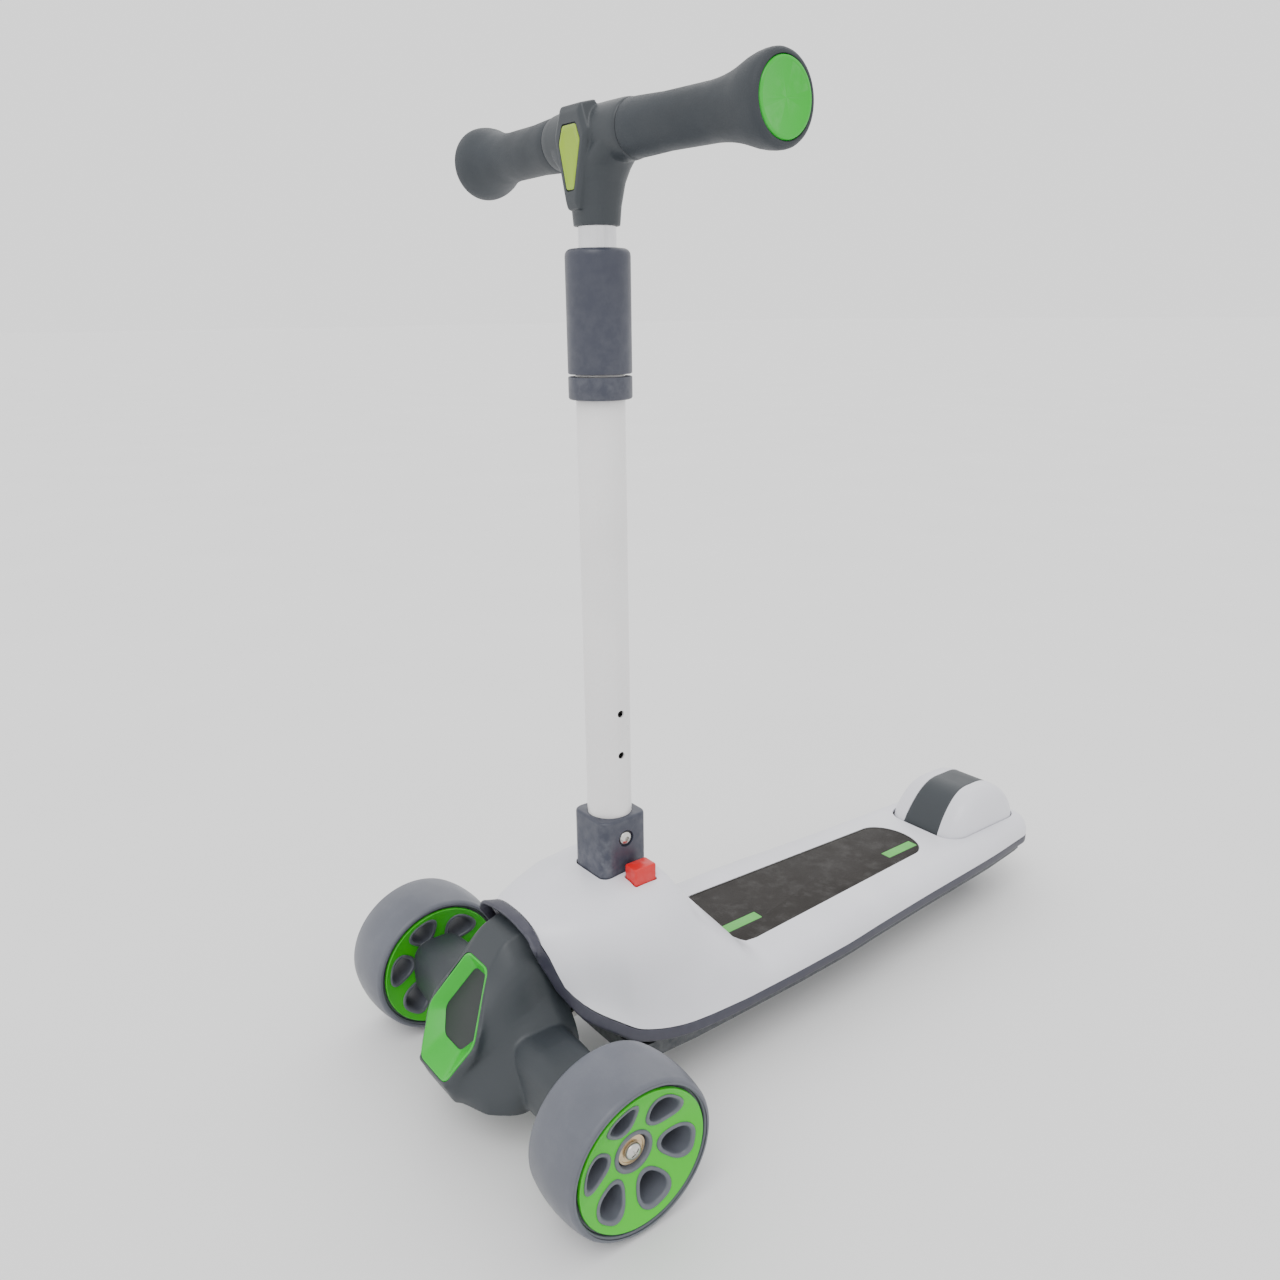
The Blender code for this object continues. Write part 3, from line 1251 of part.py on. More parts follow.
def socket_nut(look, body):
    face = SOCKET_SIZE / 2 - 0.0022 + GAP
    shape = nut(SOCKET_BOLT_RADIUS + GAP, BOLT_HEAD_RADIUS - 0.0008, -face - 0.002, -face, "X")
    return add_piece("socket_nut", shape, look, body, bolt_place())


def neck_bottom():
    return BAR_HEIGHT - HUB_BASE_DROP


def sleeve_top():
    return neck_bottom() - INNER_TUBE_SHOWS


def sleeve_bottom():
    return sleeve_top() - SLEEVE_LENGTH


def tube_top():
    return sleeve_top() - 0.024


def stem_tube(look, body):
    """White outer tube with its two spare holes on the left side."""
    inner = STEM_TUBE_RADIUS - STEM_TUBE_WALL
    shape = ring(inner, STEM_TUBE_RADIUS, tube_bottom(), tube_top())
    piece = add_piece("stem_tube", shape, look, body, (0.0, STEM_Y, 0.0))
    cut(piece, bore(SOCKET_BOLT_RADIUS + GAP, -0.05, 0.05, "X", 12), bolt_place())
    for height in SPARE_HOLE_HEIGHTS:
        cut(piece, bore(SPARE_HOLE_RADIUS, 0.0, 0.05, "X", 12), (0.0, STEM_Y, height))
    return piece


def clamp_ring(look, body):
    top = sleeve_bottom() - RING_GAP
    low = top - RING_LENGTH
    bore = STEM_TUBE_RADIUS + GAP
    edge = 0.0012
    profile = ((bore, low), (COLLAR_RADIUS - edge, low), (COLLAR_RADIUS, low + edge),
               (COLLAR_RADIUS, top - edge / 2),
               (COLLAR_RADIUS - edge / 2, top), (bore, top))
    return add_piece("clamp_ring", turned(profile, 24), look, body, (0.0, STEM_Y, 0.0))


def clamp_collet(look, body):
    """Split ring that the sleeve squeezes on to the inner tube."""
    low = tube_top() + GAP
    shape = ring(INNER_TUBE_RADIUS + GAP, STEM_TUBE_RADIUS, low, low + COLLET_LENGTH)
    piece = add_piece("clamp_collet", shape, look, body, (0.0, STEM_Y, 0.0))
    cut(piece, box(0.0010, 0.02, low - 0.01, low + 0.05), (0.0, STEM_Y + 0.02, 0.0))
    return piece


def twist_sleeve(look, body):
    low = sleeve_bottom()
    top = sleeve_top()
    lip = tube_top() + GAP + COLLET_LENGTH + GAP
    bore = STEM_TUBE_RADIUS + RUNNING_GAP
    neck = INNER_TUBE_RADIUS + RUNNING_GAP
    edge = 0.004
    r = COLLAR_RADIUS
    profile = ((bore, low), (r - 0.0006, low), (r, low + 0.0006), (r, top - edge),
               (r - 0.3 * edge, top - 0.3 * edge),
               (r - edge, top), (neck, top), (neck, lip), (bore, lip))
    return add_piece("twist_sleeve", turned(profile, 24), look, body, (0.0, STEM_Y, 0.0))


# ------------------------------------------------------------------ release button
def button_place():
    return (SOCKET_SIZE / 2 + PANEL_GAP + BUTTON_WIDTH / 2 + 0.0045, STEM_Y + 0.004, 0.0)


def release_button(look, body):
    shape = rounded_box(BUTTON_WIDTH / 2, BUTTON_LENGTH / 2, BUTTON_TOP - BUTTON_HEIGHT - BUTTON_SKIRT,
                        BUTTON_TOP, 0.0015, 2)
    return add_piece("release_button", shape, look, body, button_place())


def button_spring(look, body):
    high = BUTTON_TOP - BUTTON_HEIGHT - BUTTON_SKIRT - GAP
    low = high - BUTTON_SPRING_LENGTH
    shape = coil(0.0035, 0.0005, 5, low + 0.0006, high - 0.0006)
    return add_piece("button_spring", shape, look, body, button_place())


# ------------------------------------------------------------------ handlebar
def inner_tube(look, body):
    inner = INNER_TUBE_RADIUS - INNER_TUBE_WALL
    top = BAR_HEIGHT - BAR_ROD_RADIUS - 0.0022
    shape = ring(inner, INNER_TUBE_RADIUS, top - INNER_TUBE_LENGTH, top)
    return add_piece("inner_tube", shape, look, body, (0.0, STEM_Y, 0.0))


def tube_guide(look, body):
    """Plastic bush on the inner tube's lower end that runs inside the outer tube."""
    top = BAR_HEIGHT - BAR_ROD_RADIUS - 0.0022 - INNER_TUBE_LENGTH - GAP
    bore = STEM_TUBE_RADIUS - STEM_TUBE_WALL - RUNNING_GAP
    stub = INNER_TUBE_RADIUS - INNER_TUBE_WALL - GAP
    profile = ((0.0, top - 0.016), (bore, top - 0.016), (bore, top), (stub, top), (stub, top + 0.010),
               (0.0, top + 0.010))
    return add_piece("tube_guide", turned(profile, 24), look, body, (0.0, STEM_Y, 0.0))


def bar_rings(radius, stops, segments=20):
    """Rings along the swept bar at signed distances from its middle."""
    rings = []
    for stop in stops:
        sweep = 0.0 if stop == 0.0 else BAR_SWEEP * (1 if stop > 0 else -1)
        centre = Vector((stop * cos(BAR_SWEEP), abs(stop) * sin(BAR_SWEEP), 0.0))
        across = Vector((-sin(sweep), cos(sweep), 0.0))
        up = Vector((0.0, 0.0, 1.0))
        angles = [2 * pi * k / segments for k in range(segments)]
        rings.append([centre + across * (radius * cos(a)) + up * (radius * sin(a)) for a in angles])
    return rings


def bar_rod(look, body):
    stop = BAR_HALF_LENGTH - 0.014
    shape = skinned(bar_rings(BAR_ROD_RADIUS, (-stop, 0.0, stop)))
    return add_piece("bar_rod", shape, look, body, (0.0, STEM_Y, BAR_HEIGHT))


def handlebar_hub(look, body):
    """Moulded tee: the neck over the inner tube, flaring into the sleeve round the bar."""
    stops = (-HUB_HALF_LENGTH, -0.020, 0.0, 0.020, HUB_HALF_LENGTH)
    piece = add_piece("handlebar_hub", skinned(bar_rings(HUB_RADIUS, stops)), look, body,
                      (0.0, STEM_Y, BAR_HEIGHT))
    low = -HUB_BASE_DROP
    neck = ((low, 0.0150, 0.0150), (low + 0.012, 0.0165, 0.0160), (low + 0.026, 0.0205, 0.0172),
            (low + 0.038, 0.0290, 0.0178),
            (low + 0.046, 0.0380, 0.0165), (low + 0.052, 0.0385, 0.0120))
    rings = []
    for z, half_x, half_y in neck:
        rings.append([(x, y, z) for x, y in rounded_rectangle(half_x, half_y, 0.9 * min(half_x, half_y),
                                                              4)])
    join(piece, skinned(rings), (0.0, STEM_Y, BAR_HEIGHT))
    join(piece, badge_plate(1.25, -0.010, PLINTH_HEIGHT), badge_plane())
    reach = HUB_HALF_LENGTH + 0.02
    cut(piece, skinned(bar_rings(BAR_ROD_RADIUS + GAP, (-reach, 0.0, reach))), (0.0, STEM_Y, BAR_HEIGHT))
    cut(piece, bore(INNER_TUBE_RADIUS + GAP, -0.08, -BAR_ROD_RADIUS - 0.0012, segments=32),
        (0.0, STEM_Y, BAR_HEIGHT))
    return piece


def badge_plane():
    return (0.0, STEM_Y - HUB_RADIUS - 0.0004, BAR_HEIGHT)


def coffin_outline(scale):
    half = ((0.0045, 0.0060), (0.0095, -0.0030), (0.0100, -0.0060), (0.0042, -0.0330))
    half = [(a * scale, -0.014 + (b + 0.014) * scale) for a, b in half]
    return half + [(-a, b) for a, b in reversed(half)]


def badge_plate(scale, low, high):
    """Flat six-sided plate on the front of the hub, between two depths before its face."""
    outline = coffin_outline(scale)
    return skinned([[(a, -depth, b) for a, b in outline] for depth in (low, high)])


def badge_inlay(look, body):
    shape = badge_plate(1.0, PLINTH_HEIGHT + GAP, PLINTH_HEIGHT + 0.0012)
    return add_piece("badge_inlay", shape, look, body, badge_plane())


def grip(side, name, look, body):
    """Soft grip with a flared end, hollow for the bar and the end cap."""
    start = HUB_HALF_LENGTH + GAP
    end = BAR_HALF_LENGTH - 0.0006
    r = GRIP_RADIUS
    bore = BAR_ROD_RADIUS + GAP
    pocket = END_CAP_RADIUS + GAP
    floor = BAR_HALF_LENGTH - END_CAP_THICKNESS - GAP
    flare = GRIP_FLARE_RADIUS
    profile = ((bore, start), (r + 0.0015, start), (r + 0.0010, start + 0.012), (r, start + 0.035),
               (r + 0.0005, end - 0.050),
               (r + 0.0022, end - 0.034), (r + 0.0056, end - 0.022), (flare - 0.0008, end - 0.012), (flare,
                                                                                                     end - 0.006),
               (flare - 0.0012, end - 0.0012), (flare - 0.0026, end), (pocket, end), (pocket, floor), (bore,
                                                                                                       floor))
    shape = turned([(radius, side * x) for radius, x in profile], 20, "X")
    return add_piece(name, shape, look, body, (0.0, STEM_Y, BAR_HEIGHT), (0.0, 0.0, side * BAR_SWEEP))


def end_cap(side, name, look, body):
    outer = BAR_HALF_LENGTH
    low = outer - END_CAP_THICKNESS
    r = END_CAP_RADIUS
    profile = ((0.0, low), (r, low), (r, outer - 0.0006), (r - 0.0008, outer), (0.0, outer))
    shape = turned([(radius, side * x) for radius, x in profile], 20, "X")
    return add_piece(name, shape, look, body, (0.0, STEM_Y, BAR_HEIGHT), (0.0, 0.0, side * BAR_SWEEP))


# ------------------------------------------------------------------ assembly
def finishes():
    return {
        "white": finish("white_plastic", (0.72, 0.72, 0.77), 0.42),
        "white_paint": finish("white_paint", (0.80, 0.79, 0.78), 0.30),
        "slate": finish("slate_plastic", (0.045, 0.054, 0.063), 0.50),
        "strip": finish("strip_plastic", (0.053, 0.053, 0.080), 0.50),
        "collar": finish("collar_plastic", (0.065, 0.072, 0.100), 0.45),
        "mat": finish("mat_rubber", (0.043, 0.038, 0.035), 0.80),
        "rubber": finish("bush_rubber", (0.03, 0.03, 0.03), 0.70),
        "mark": finish("mark_green", (0.22, 0.58, 0.22), 0.60),
        "tyre": finish("tyre_grey", (0.16, 0.17, 0.20), 0.38),
        "wheel_grey": finish("wheel_grey", (0.15, 0.16, 0.19), 0.45),
        "wheel_green": finish("wheel_green", (0.10, 0.64, 0.045), 0.45),
        "cap_green": finish("cap_green", (0.03, 0.60, 0.065), 0.45),
        "inlay": finish("inlay_green", (0.38, 0.51, 0.07), 0.50),
        "red": finish("red_plastic", (0.68, 0.012, 0.012), 0.40),
        "aluminium": finish("aluminium", (0.80, 0.80, 0.82), 0.25, 1.0),
        "steel": finish("steel", (0.58, 0.57, 0.55), 0.30, 1.0),
        "spring": finish("spring_steel", (0.40, 0.40, 0.42), 0.35, 1.0),
    }


def build_deck(looks, body):
    stations = deck_stations()
    upper_shell(looks["white"], body, stations)
    edge_strip(looks["strip"], body, stations)
    lower_tray(looks["slate"], body, stations)
    for number, place in enumerate(screw_places(stations), 1):
        deck_screw(f"deck_screw_{number}", looks["steel"], body, place)
    deck_mat(looks["mat"], body)
    for name, place in zip(("mat_mark_front", "mat_mark_rear"), mark_places()):
        mat_mark(name, looks["mark"], body, place)
    rear_axle(looks["steel"], body)
    rear_axle_nut(looks["steel"], body)
    brake_pin(looks["steel"], body)
    brake_spring(looks["spring"], body)
    pivot_bracket(looks["steel"], body)
    centring_bush(looks["rubber"], body)
    kingpin(looks["steel"], body)
    kingpin_nut(looks["steel"], body)
    stem_receiver(looks["slate"], body)
    button_spring(looks["spring"], body)


def build_truck(looks, body):
    truck_beam(looks["aluminium"], body)
    front_shell(looks["slate"], body)
    front_bezel(looks["cap_green"], body)
    axle_bolt(1, "left_axle_bolt", looks["steel"], body)
    axle_bolt(-1, "right_axle_bolt", looks["steel"], body)
    axle_spacer(1, "left_axle_spacer", looks["steel"], body)
    axle_spacer(-1, "right_axle_spacer", looks["steel"], body)


def build_stem(looks, body):
    socket_block(looks["collar"], body)
    stem_tube(looks["white_paint"], body)
    socket_bolt(looks["steel"], body)
    socket_nut(looks["steel"], body)
    clamp_ring(looks["collar"], body)
    clamp_collet(looks["slate"], body)


def build_handlebar(looks, body):
    inner_tube(looks["aluminium"], body)
    tube_guide(looks["slate"], body)
    bar_rod(looks["steel"], body)
    handlebar_hub(looks["slate"], body)
    badge_inlay(looks["inlay"], body)
    for side, name in ((1, "left"), (-1, "right")):
        grip(side, name + "_grip", looks["slate"], body)
        end_cap(side, name + "_end_cap", looks["cap_green"], body)


def build_scooter():
    clear_scene()
    looks = finishes()
    scooter = joint_empty("scooter")
    scooter.location = (0.0, ORIGIN_Y, 0.0)
    truck = joint_empty("steering_axis", (0.0, PIVOT_Y, PIVOT_HEIGHT), scooter)
    half_track = FRONT_TRACK / 2
    left_wheel = joint_empty("left_wheel_axis", (half_track, 0.0, FRONT_WHEEL_RADIUS), truck)
    right_wheel = joint_empty("right_wheel_axis", (-half_track, 0.0, FRONT_WHEEL_RADIUS), truck)
    back_wheel = joint_empty("rear_wheel_axis", (0.0, REAR_AXLE_Y, REAR_WHEEL_RADIUS), scooter)
    brake = joint_empty("brake_axis", brake_pin_place(), scooter)
    button = joint_empty("button_axis", button_place(), scooter)
    stem = joint_empty("stem_axis", (0.0, STEM_Y, 0.0), scooter)
    handlebar = joint_empty("handlebar_axis", (0.0, STEM_Y, BAR_HEIGHT), stem)
    build_deck(looks, scooter)
    build_truck(looks, truck)
    front_wheel(1, "left_wheel", looks, left_wheel)
    front_wheel(-1, "right_wheel", looks, right_wheel)
    rear_wheel(looks, back_wheel)
    brake_cover(looks["white"], brake)
    brake_strip(looks["slate"], brake)
    brake_shoe(looks["steel"], brake)
    release_button(looks["red"], button)
    build_stem(looks, stem)
    twist_sleeve(looks["collar"], stem)
    build_handlebar(looks, handlebar)


build_scooter()
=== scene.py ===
import json
from math import cos, pi, radians, sin, sqrt

import bmesh
import bpy
from mathutils import Matrix, Vector


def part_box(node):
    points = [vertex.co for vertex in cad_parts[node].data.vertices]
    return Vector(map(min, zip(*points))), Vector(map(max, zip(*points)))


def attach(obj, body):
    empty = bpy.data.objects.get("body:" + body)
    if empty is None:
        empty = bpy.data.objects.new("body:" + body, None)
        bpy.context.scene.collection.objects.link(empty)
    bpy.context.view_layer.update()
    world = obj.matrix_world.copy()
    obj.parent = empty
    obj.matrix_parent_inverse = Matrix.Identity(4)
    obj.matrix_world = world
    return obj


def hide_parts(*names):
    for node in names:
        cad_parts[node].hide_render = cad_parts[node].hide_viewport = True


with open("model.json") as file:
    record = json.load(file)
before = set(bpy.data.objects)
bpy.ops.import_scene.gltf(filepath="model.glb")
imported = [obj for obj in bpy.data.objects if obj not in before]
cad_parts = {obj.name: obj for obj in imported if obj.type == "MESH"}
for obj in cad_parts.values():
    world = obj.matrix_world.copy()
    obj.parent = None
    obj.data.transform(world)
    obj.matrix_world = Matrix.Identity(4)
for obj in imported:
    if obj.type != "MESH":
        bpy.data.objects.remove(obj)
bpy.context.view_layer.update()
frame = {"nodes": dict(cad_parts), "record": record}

# Looks of the three-wheeled kick scooter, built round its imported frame. Shapes are drawn in "axle"
# places: metres, +Z up from the ground, Y measured from the front axle, X from the middle. `made`
# moves them to the frame's own places, where every object sits at the origin.


def middle(node):
    low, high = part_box(node)
    return (low + high) / 2


def heights(node):
    low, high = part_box(node)
    return low.z, high.z


AXLE = Vector((0.0, middle("left_wheel_tyre").y, 0.0))
REAR_AXLE = middle("rear_tyre") - AXLE
HALF_TRACK = middle("left_wheel_tyre").x
STEM_Y = middle("stem_tube").y - AXLE.y

# ---- sizes shared with the frame
FRONT_RADIUS = 0.060
FRONT_WIDTH = 0.0523
DISC_RADIUS = 0.0505
DISC_DEPTH = 0.013
TUNNELS = 6
TUNNEL_CIRCLE = 0.0335
TUNNEL_RADIUS = 0.0100
TUNNEL_RIM = 0.0034
TUNNEL_START = radians(-10)
TYRE_CROWN = 0.0025
TYRE_SHOULDER = 0.0042
REAR_RADIUS = 0.050
REAR_WIDTH = 0.030
DECK_END = 0.608
DECK_TOP = 0.080
EDGE_HEIGHT = 0.060
DECK_HALF_WIDTH = 0.080
SHELL_WALL = 0.003
HOOD_FRONT = 0.008
HOOD_BACK = 0.205
TAIL_ROUND = 0.028
STRIP_WIDTH = 0.009
STRIP_THICKNESS = 0.003
SOCKET_HALF = 0.021
SOCKET_TOP = 0.219
SOCKET_BASE = 0.165
BAR_HEIGHT = 0.694
BAR_SWEEP = radians(3.6)
BAR_HALF = 0.163
BADGE_SLOPE = radians(60.2)
BADGE_TOP = (0.0, -0.025, 0.135)
GAP = 0.0003
BAR_ROD_ROOM = 0.0113
GRIP_RADIUS = 0.0160
GRIP_FLARE = 0.0253
GRIP_START = 0.0403
COLLAR_RADIUS = 0.022
TUBE_RADIUS = 0.0170
TUBE_BORE = 0.0155
BOLT_HEIGHT = 0.2020
SPARE_HOLES = (0.2690, 0.3020)
BRAKE_TOP = 0.118
BRAKE_FRONT = 0.482
BRAKE_BACK = 0.592
BRAKE_HALF_WIDTH = 0.043
BRAKE_CORNER = 0.020

# ---- camera and light
CAMERA_PLACE = (0.6130, -0.3400, 0.5853)
CAMERA_LENS = 30.07
CAMERA_YAW = radians(52.66)
CAMERA_PITCH = radians(17.03)
CAMERA_ROLL = radians(-0.69)
SKY_STRENGTH = 1.45
FLOOR_HALF = 60.0


# ---- mesh helpers
def linked(name, mesh):
    obj = bpy.data.objects.new(name, mesh)
    bpy.context.scene.collection.objects.link(obj)
    return obj


def made(name, shape, turn=None, place=(0.0, 0.0, 0.0)):
    """Object from a bmesh drawn in axle places, optionally turned and placed first."""
    bmesh.ops.recalc_face_normals(shape, faces=shape.faces)
    if turn is not None:
        shape.transform(turn)
    shape.transform(Matrix.Translation(Vector(place) + AXLE))
    mesh = bpy.data.meshes.new(name)
    shape.to_mesh(mesh)
    shape.free()
    return linked(name, mesh)


def settled(obj):
    """Apply the object's modifiers to its mesh."""
    graph = bpy.context.evaluated_depsgraph_get()
    mesh = bpy.data.meshes.new_from_object(obj.evaluated_get(graph), depsgraph=graph)
    old = obj.data
    obj.modifiers.clear()
    obj.data = mesh
    mesh.name = obj.name
    bpy.data.meshes.remove(old)
    return obj


def modify(obj, kind, **values):
    step = obj.modifiers.new(kind.lower(), kind)
    for key, value in values.items():
        setattr(step, key, value)
    return step


def carve(obj, tool, operation="DIFFERENCE"):
    """Apply a Boolean with a tool object, which is then removed."""
    modify(obj, "BOOLEAN", operation=operation, solver="EXACT", object=tool)
    settled(obj)
    bpy.data.objects.remove(tool, do_unlink=True)
    return obj


def cut(obj, shape, turn=None, place=(0.0, 0.0, 0.0)):
    """Take a shape drawn in axle places out of an object."""
    return carve(obj, made("tool", shape, turn, place))


def shaded(obj, angle=35.0, bevel=0.0, segments=2):
    """Smooth shading that breaks at edges over an angle, with an optional real bevel there."""
    if bevel:
        modify(obj, "BEVEL", width=bevel, segments=segments, limit_method="ANGLE",
               angle_limit=radians(angle), harden_normals=False)
        settled(obj)
    obj.data.shade_smooth()
    obj.data.set_sharp_from_angle(angle=radians(angle + 8))
    return obj


def dress(obj, look, body, slot, *nodes):
    """Give a piece its material and body, and hide the CAD nodes that it stands for; the record slot is not
    used.
    """
    obj.data.materials.clear()
    obj.data.materials.append(look)
    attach(obj, body)
    if nodes:
        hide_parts(*nodes)
    return obj


def skinned(rings, loop=False, caps=True):
    shape = bmesh.new()
    made_rings = [[shape.verts.new(point) for point in ring] for ring in rings]
    following = made_rings[1:] + made_rings[:1] if loop else made_rings[1:]
    for near, far in zip(made_rings, following):
        for k in range(len(near)):
            after = (k + 1) % len(near)
            shape.faces.new((near[k], near[after], far[after], far[k]))
    if not loop and caps:
        ends = [shape.faces.new(made_rings[0]), shape.faces.new(made_rings[-1])]
        bmesh.ops.triangulate(shape, faces=ends, ngon_method="EAR_CLIP")
    return shape


def turned(profile, segments=96, axis="Z", loop=True):
    """Turn a profile of (radius, along) round an axis; a loop closes on itself off the axis."""
    rings = []
    for radius, along in profile:
        radius = max(radius, 1e-5)
        angles = [2 * pi * k / segments for k in range(segments)]
        if axis == "X":
            rings.append([(along, radius * cos(a), radius * sin(a)) for a in angles])
        else:
            rings.append([(radius * cos(a), radius * sin(a), along) for a in angles])
    return skinned(rings, loop=loop)


def arc(centre, radius, start, end, steps):
    """Points of a round stretch of a profile, from one angle to another in degrees."""
    points = []
    for k in range(steps + 1):
        angle = radians(start + (end - start) * k / steps)
        points.append((centre[0] + radius * cos(angle), centre[1] + radius * sin(angle)))
    return points


def mirrored(profile):
    """Profile of (radius, along) carried on over the middle plane to the other side."""
    return profile + [(radius, -along) for radius, along in reversed(profile)]


def merged(*shapes):
    whole = bmesh.new()
    for shape in shapes:
        mesh = bpy.data.meshes.new("merge")
        shape.to_mesh(mesh)
        shape.free()
        whole.from_mesh(mesh)
        bpy.data.meshes.remove(mesh)
    return whole


def rounded_rectangle(half_x, half_y, corner, steps=8, centre=(0.0, 0.0)):
    points = []
    for quarter, (i, j) in enumerate(((1, 1), (-1, 1), (-1, -1), (1, -1))):
        for k in range(steps + 1):
            angle = (quarter + k / steps) * pi / 2
            points.append((centre[0] + i * (half_x - corner) + corner * cos(angle),
                           centre[1] + j * (half_y - corner) + corner * sin(angle)))
    return points


def softened(corners, radius, steps=6):
    points = []
    for before, corner, after in zip(corners[-1:] + corners[:-1], corners, corners[1:] + corners[:1]):
        corner = Vector(corner)
        start = corner + (Vector(before) - corner).normalized() * radius
        end = corner + (Vector(after) - corner).normalized() * radius
        for k in range(steps + 1):
            t = k / steps
            point = start * (1 - t) ** 2 + corner * (2 * t * (1 - t)) + end * t ** 2
            points.append((point.x, point.y))
    return points


def prism(outline, low, high):
    return skinned([[(x, y, low) for x, y in outline], [(x, y, high) for x, y in outline]])


def bezier(ends, t):
    a, b, c, d = ends
    s = 1 - t
    return a * s ** 3 + 3 * b * s * s * t + 3 * c * s * t * t + d * t ** 3


def eased(stations, place):
    """Read a table of (place, values...) at a place, with slopes that never overshoot."""
    xs = [row[0] for row in stations]
    if place <= xs[0]:
        return stations[0][1:]
    if place >= xs[-1]:
        return stations[-1][1:]
    i = max(k for k in range(len(xs) - 1) if xs[k] <= place)
    h = xs[i + 1] - xs[i]
    t = (place - xs[i]) / h
    values = []
    for column in range(1, len(stations[0])):
        ys = [row[column] for row in stations]

        def slope(k):
            if k == 0 or k == len(xs) - 1:
                return 0.0
            before = (ys[k] - ys[k - 1]) / (xs[k] - xs[k - 1])
            after = (ys[k + 1] - ys[k]) / (xs[k + 1] - xs[k])
            return 0.0 if before * after <= 0 else 2 * before * after / (before + after)

        m0, m1 = slope(i) * h, slope(i + 1) * h
        rise = ys[i + 1] - ys[i]
        values.append(ys[i] + m0 * t + (3 * rise - 2 * m0 - m1) * t * t + (m0 + m1 - 2 * rise) * t ** 3)
    return tuple(values)


# ---- materials
class Look:
    """A Principled material under construction, with short calls for its usual nodes."""

    def __init__(self, name):
        self.material = bpy.data.materials.new(name)
        self.material.use_nodes = True
        self.tree = self.material.node_tree
        self.shader = self.tree.nodes["Principled BSDF"]
        self.place = self.node("ShaderNodeTexCoord").outputs["Object"]

    def node(self, kind, **values):
        made_node = self.tree.nodes.new(kind)
        for key, value in values.items():
            setattr(made_node, key, value)
        return made_node

    def link(self, source, target):
        self.tree.links.new(source, target)

    def noise(self, scale, detail=3.0, roughness=0.55, stretch=None):
        node = self.node("ShaderNodeTexNoise")
        node.inputs["Scale"].default_value = scale
        node.inputs["Detail"].default_value = detail
        node.inputs["Roughness"].default_value = roughness
        place = self.place
        if stretch:
            mapping = self.node("ShaderNodeMapping")
            mapping.inputs["Scale"].default_value = stretch
            self.link(place, mapping.inputs["Vector"])
            place = mapping.outputs["Vector"]
        self.link(place, node.inputs["Vector"])
        return node.outputs["Fac"]

    def grains(self, scale):
        node = self.node("ShaderNodeTexVoronoi", feature="F1")
        node.inputs["Scale"].default_value = scale
        self.link(self.place, node.inputs["Vector"])
        return node.outputs["Distance"]

    def span(self, value, low, high, out_low=0.0, out_high=1.0):
        node = self.node("ShaderNodeMapRange")
        for key, number in (("From Min", low), ("From Max", high), ("To Min", out_low), ("To Max", out_high)):
            node.inputs[key].default_value = number
        self.link(value, node.inputs["Value"])
        return node.outputs["Result"]

    def mix(self, factor, first, second, blend="MIX"):
        """Mix two colours, each a colour tuple or a socket, by a socket or a number."""
        node = self.node("ShaderNodeMix", data_type="RGBA", blend_type=blend)
        for socket, value in ((node.inputs[0], factor), (node.inputs[6], first), (node.inputs[7], second)):
            if isinstance(value, (int, float)):
                socket.default_value = value
            elif isinstance(value, tuple):
                socket.default_value = (*value, 1.0)
            else:
                self.link(value, socket)
        return node.outputs[2]

    def worn_edges(self, amount):
        """1 along convex edges, broken up by noise."""
        geometry = self.node("ShaderNodeNewGeometry")
        edge = self.span(geometry.outputs["Pointiness"], 0.515, 0.60)
        broken = self.span(self.noise(160.0), 0.35, 0.75)
        node = self.node("ShaderNodeMath", operation="MULTIPLY")
        self.link(edge, node.inputs[0])
        self.link(broken, node.inputs[1])
        return self.span(node.outputs[0], 0.0, 1.0, 0.0, amount)

    def bump(self, height, strength, distance, before=None):
        node = self.node("ShaderNodeBump")
        node.inputs["Strength"].default_value = strength
        node.inputs["Distance"].default_value = distance
        self.link(height, node.inputs["Height"])
        if before is not None:
            self.link(before, node.inputs["Normal"])
        return node.outputs["Normal"]

    def finished(self, colour, roughness, normal=None, **constants):
        self.link(colour, self.shader.inputs["Base Color"])
        self.link(roughness, self.shader.inputs["Roughness"])
        if normal is not None:
            self.link(normal, self.shader.inputs["Normal"])
        for key, value in constants.items():
            self.shader.inputs[key.replace("_", " ")].default_value = value
        return self.material


def shade_of(colour, factor):
    return tuple(min(1.0, channel * factor) for channel in colour)


def moulded(name, colour, roughness=0.42, grain=0.06, grain_scale=900.0, wear=0.25, specular=0.5, coat=0.0):
    """Moulded plastic: slow colour drift, fine spark-eroded grain and paler worn edges."""
    look = Look(name)
    drift = look.span(look.noise(9.0, 2.0), 0.3, 0.7)
    base = look.mix(drift, shade_of(colour, 0.93), shade_of(colour, 1.06))
    fine = look.noise(grain_scale, 4.0, 0.7)
    base = look.mix(look.span(fine, 0.3, 0.7, 0.0, 0.10), base, shade_of(colour, 0.75))
    lighter = tuple(channel + (0.8 - channel) * 0.35 for channel in colour)
    base = look.mix(look.worn_edges(wear), base, lighter)
    smudge = look.span(look.noise(22.0, 5.0, 0.6), 0.35, 0.75, roughness - 0.05, roughness + 0.07)
    normal = look.bump(fine, grain, 0.0002)
    normal = look.bump(look.noise(35.0, 1.0), 0.05, 0.0006, normal)
    return look.finished(base, smudge, normal, Specular_IOR_Level=specular, Coat_Weight=coat,
                         Coat_Roughness=0.12)


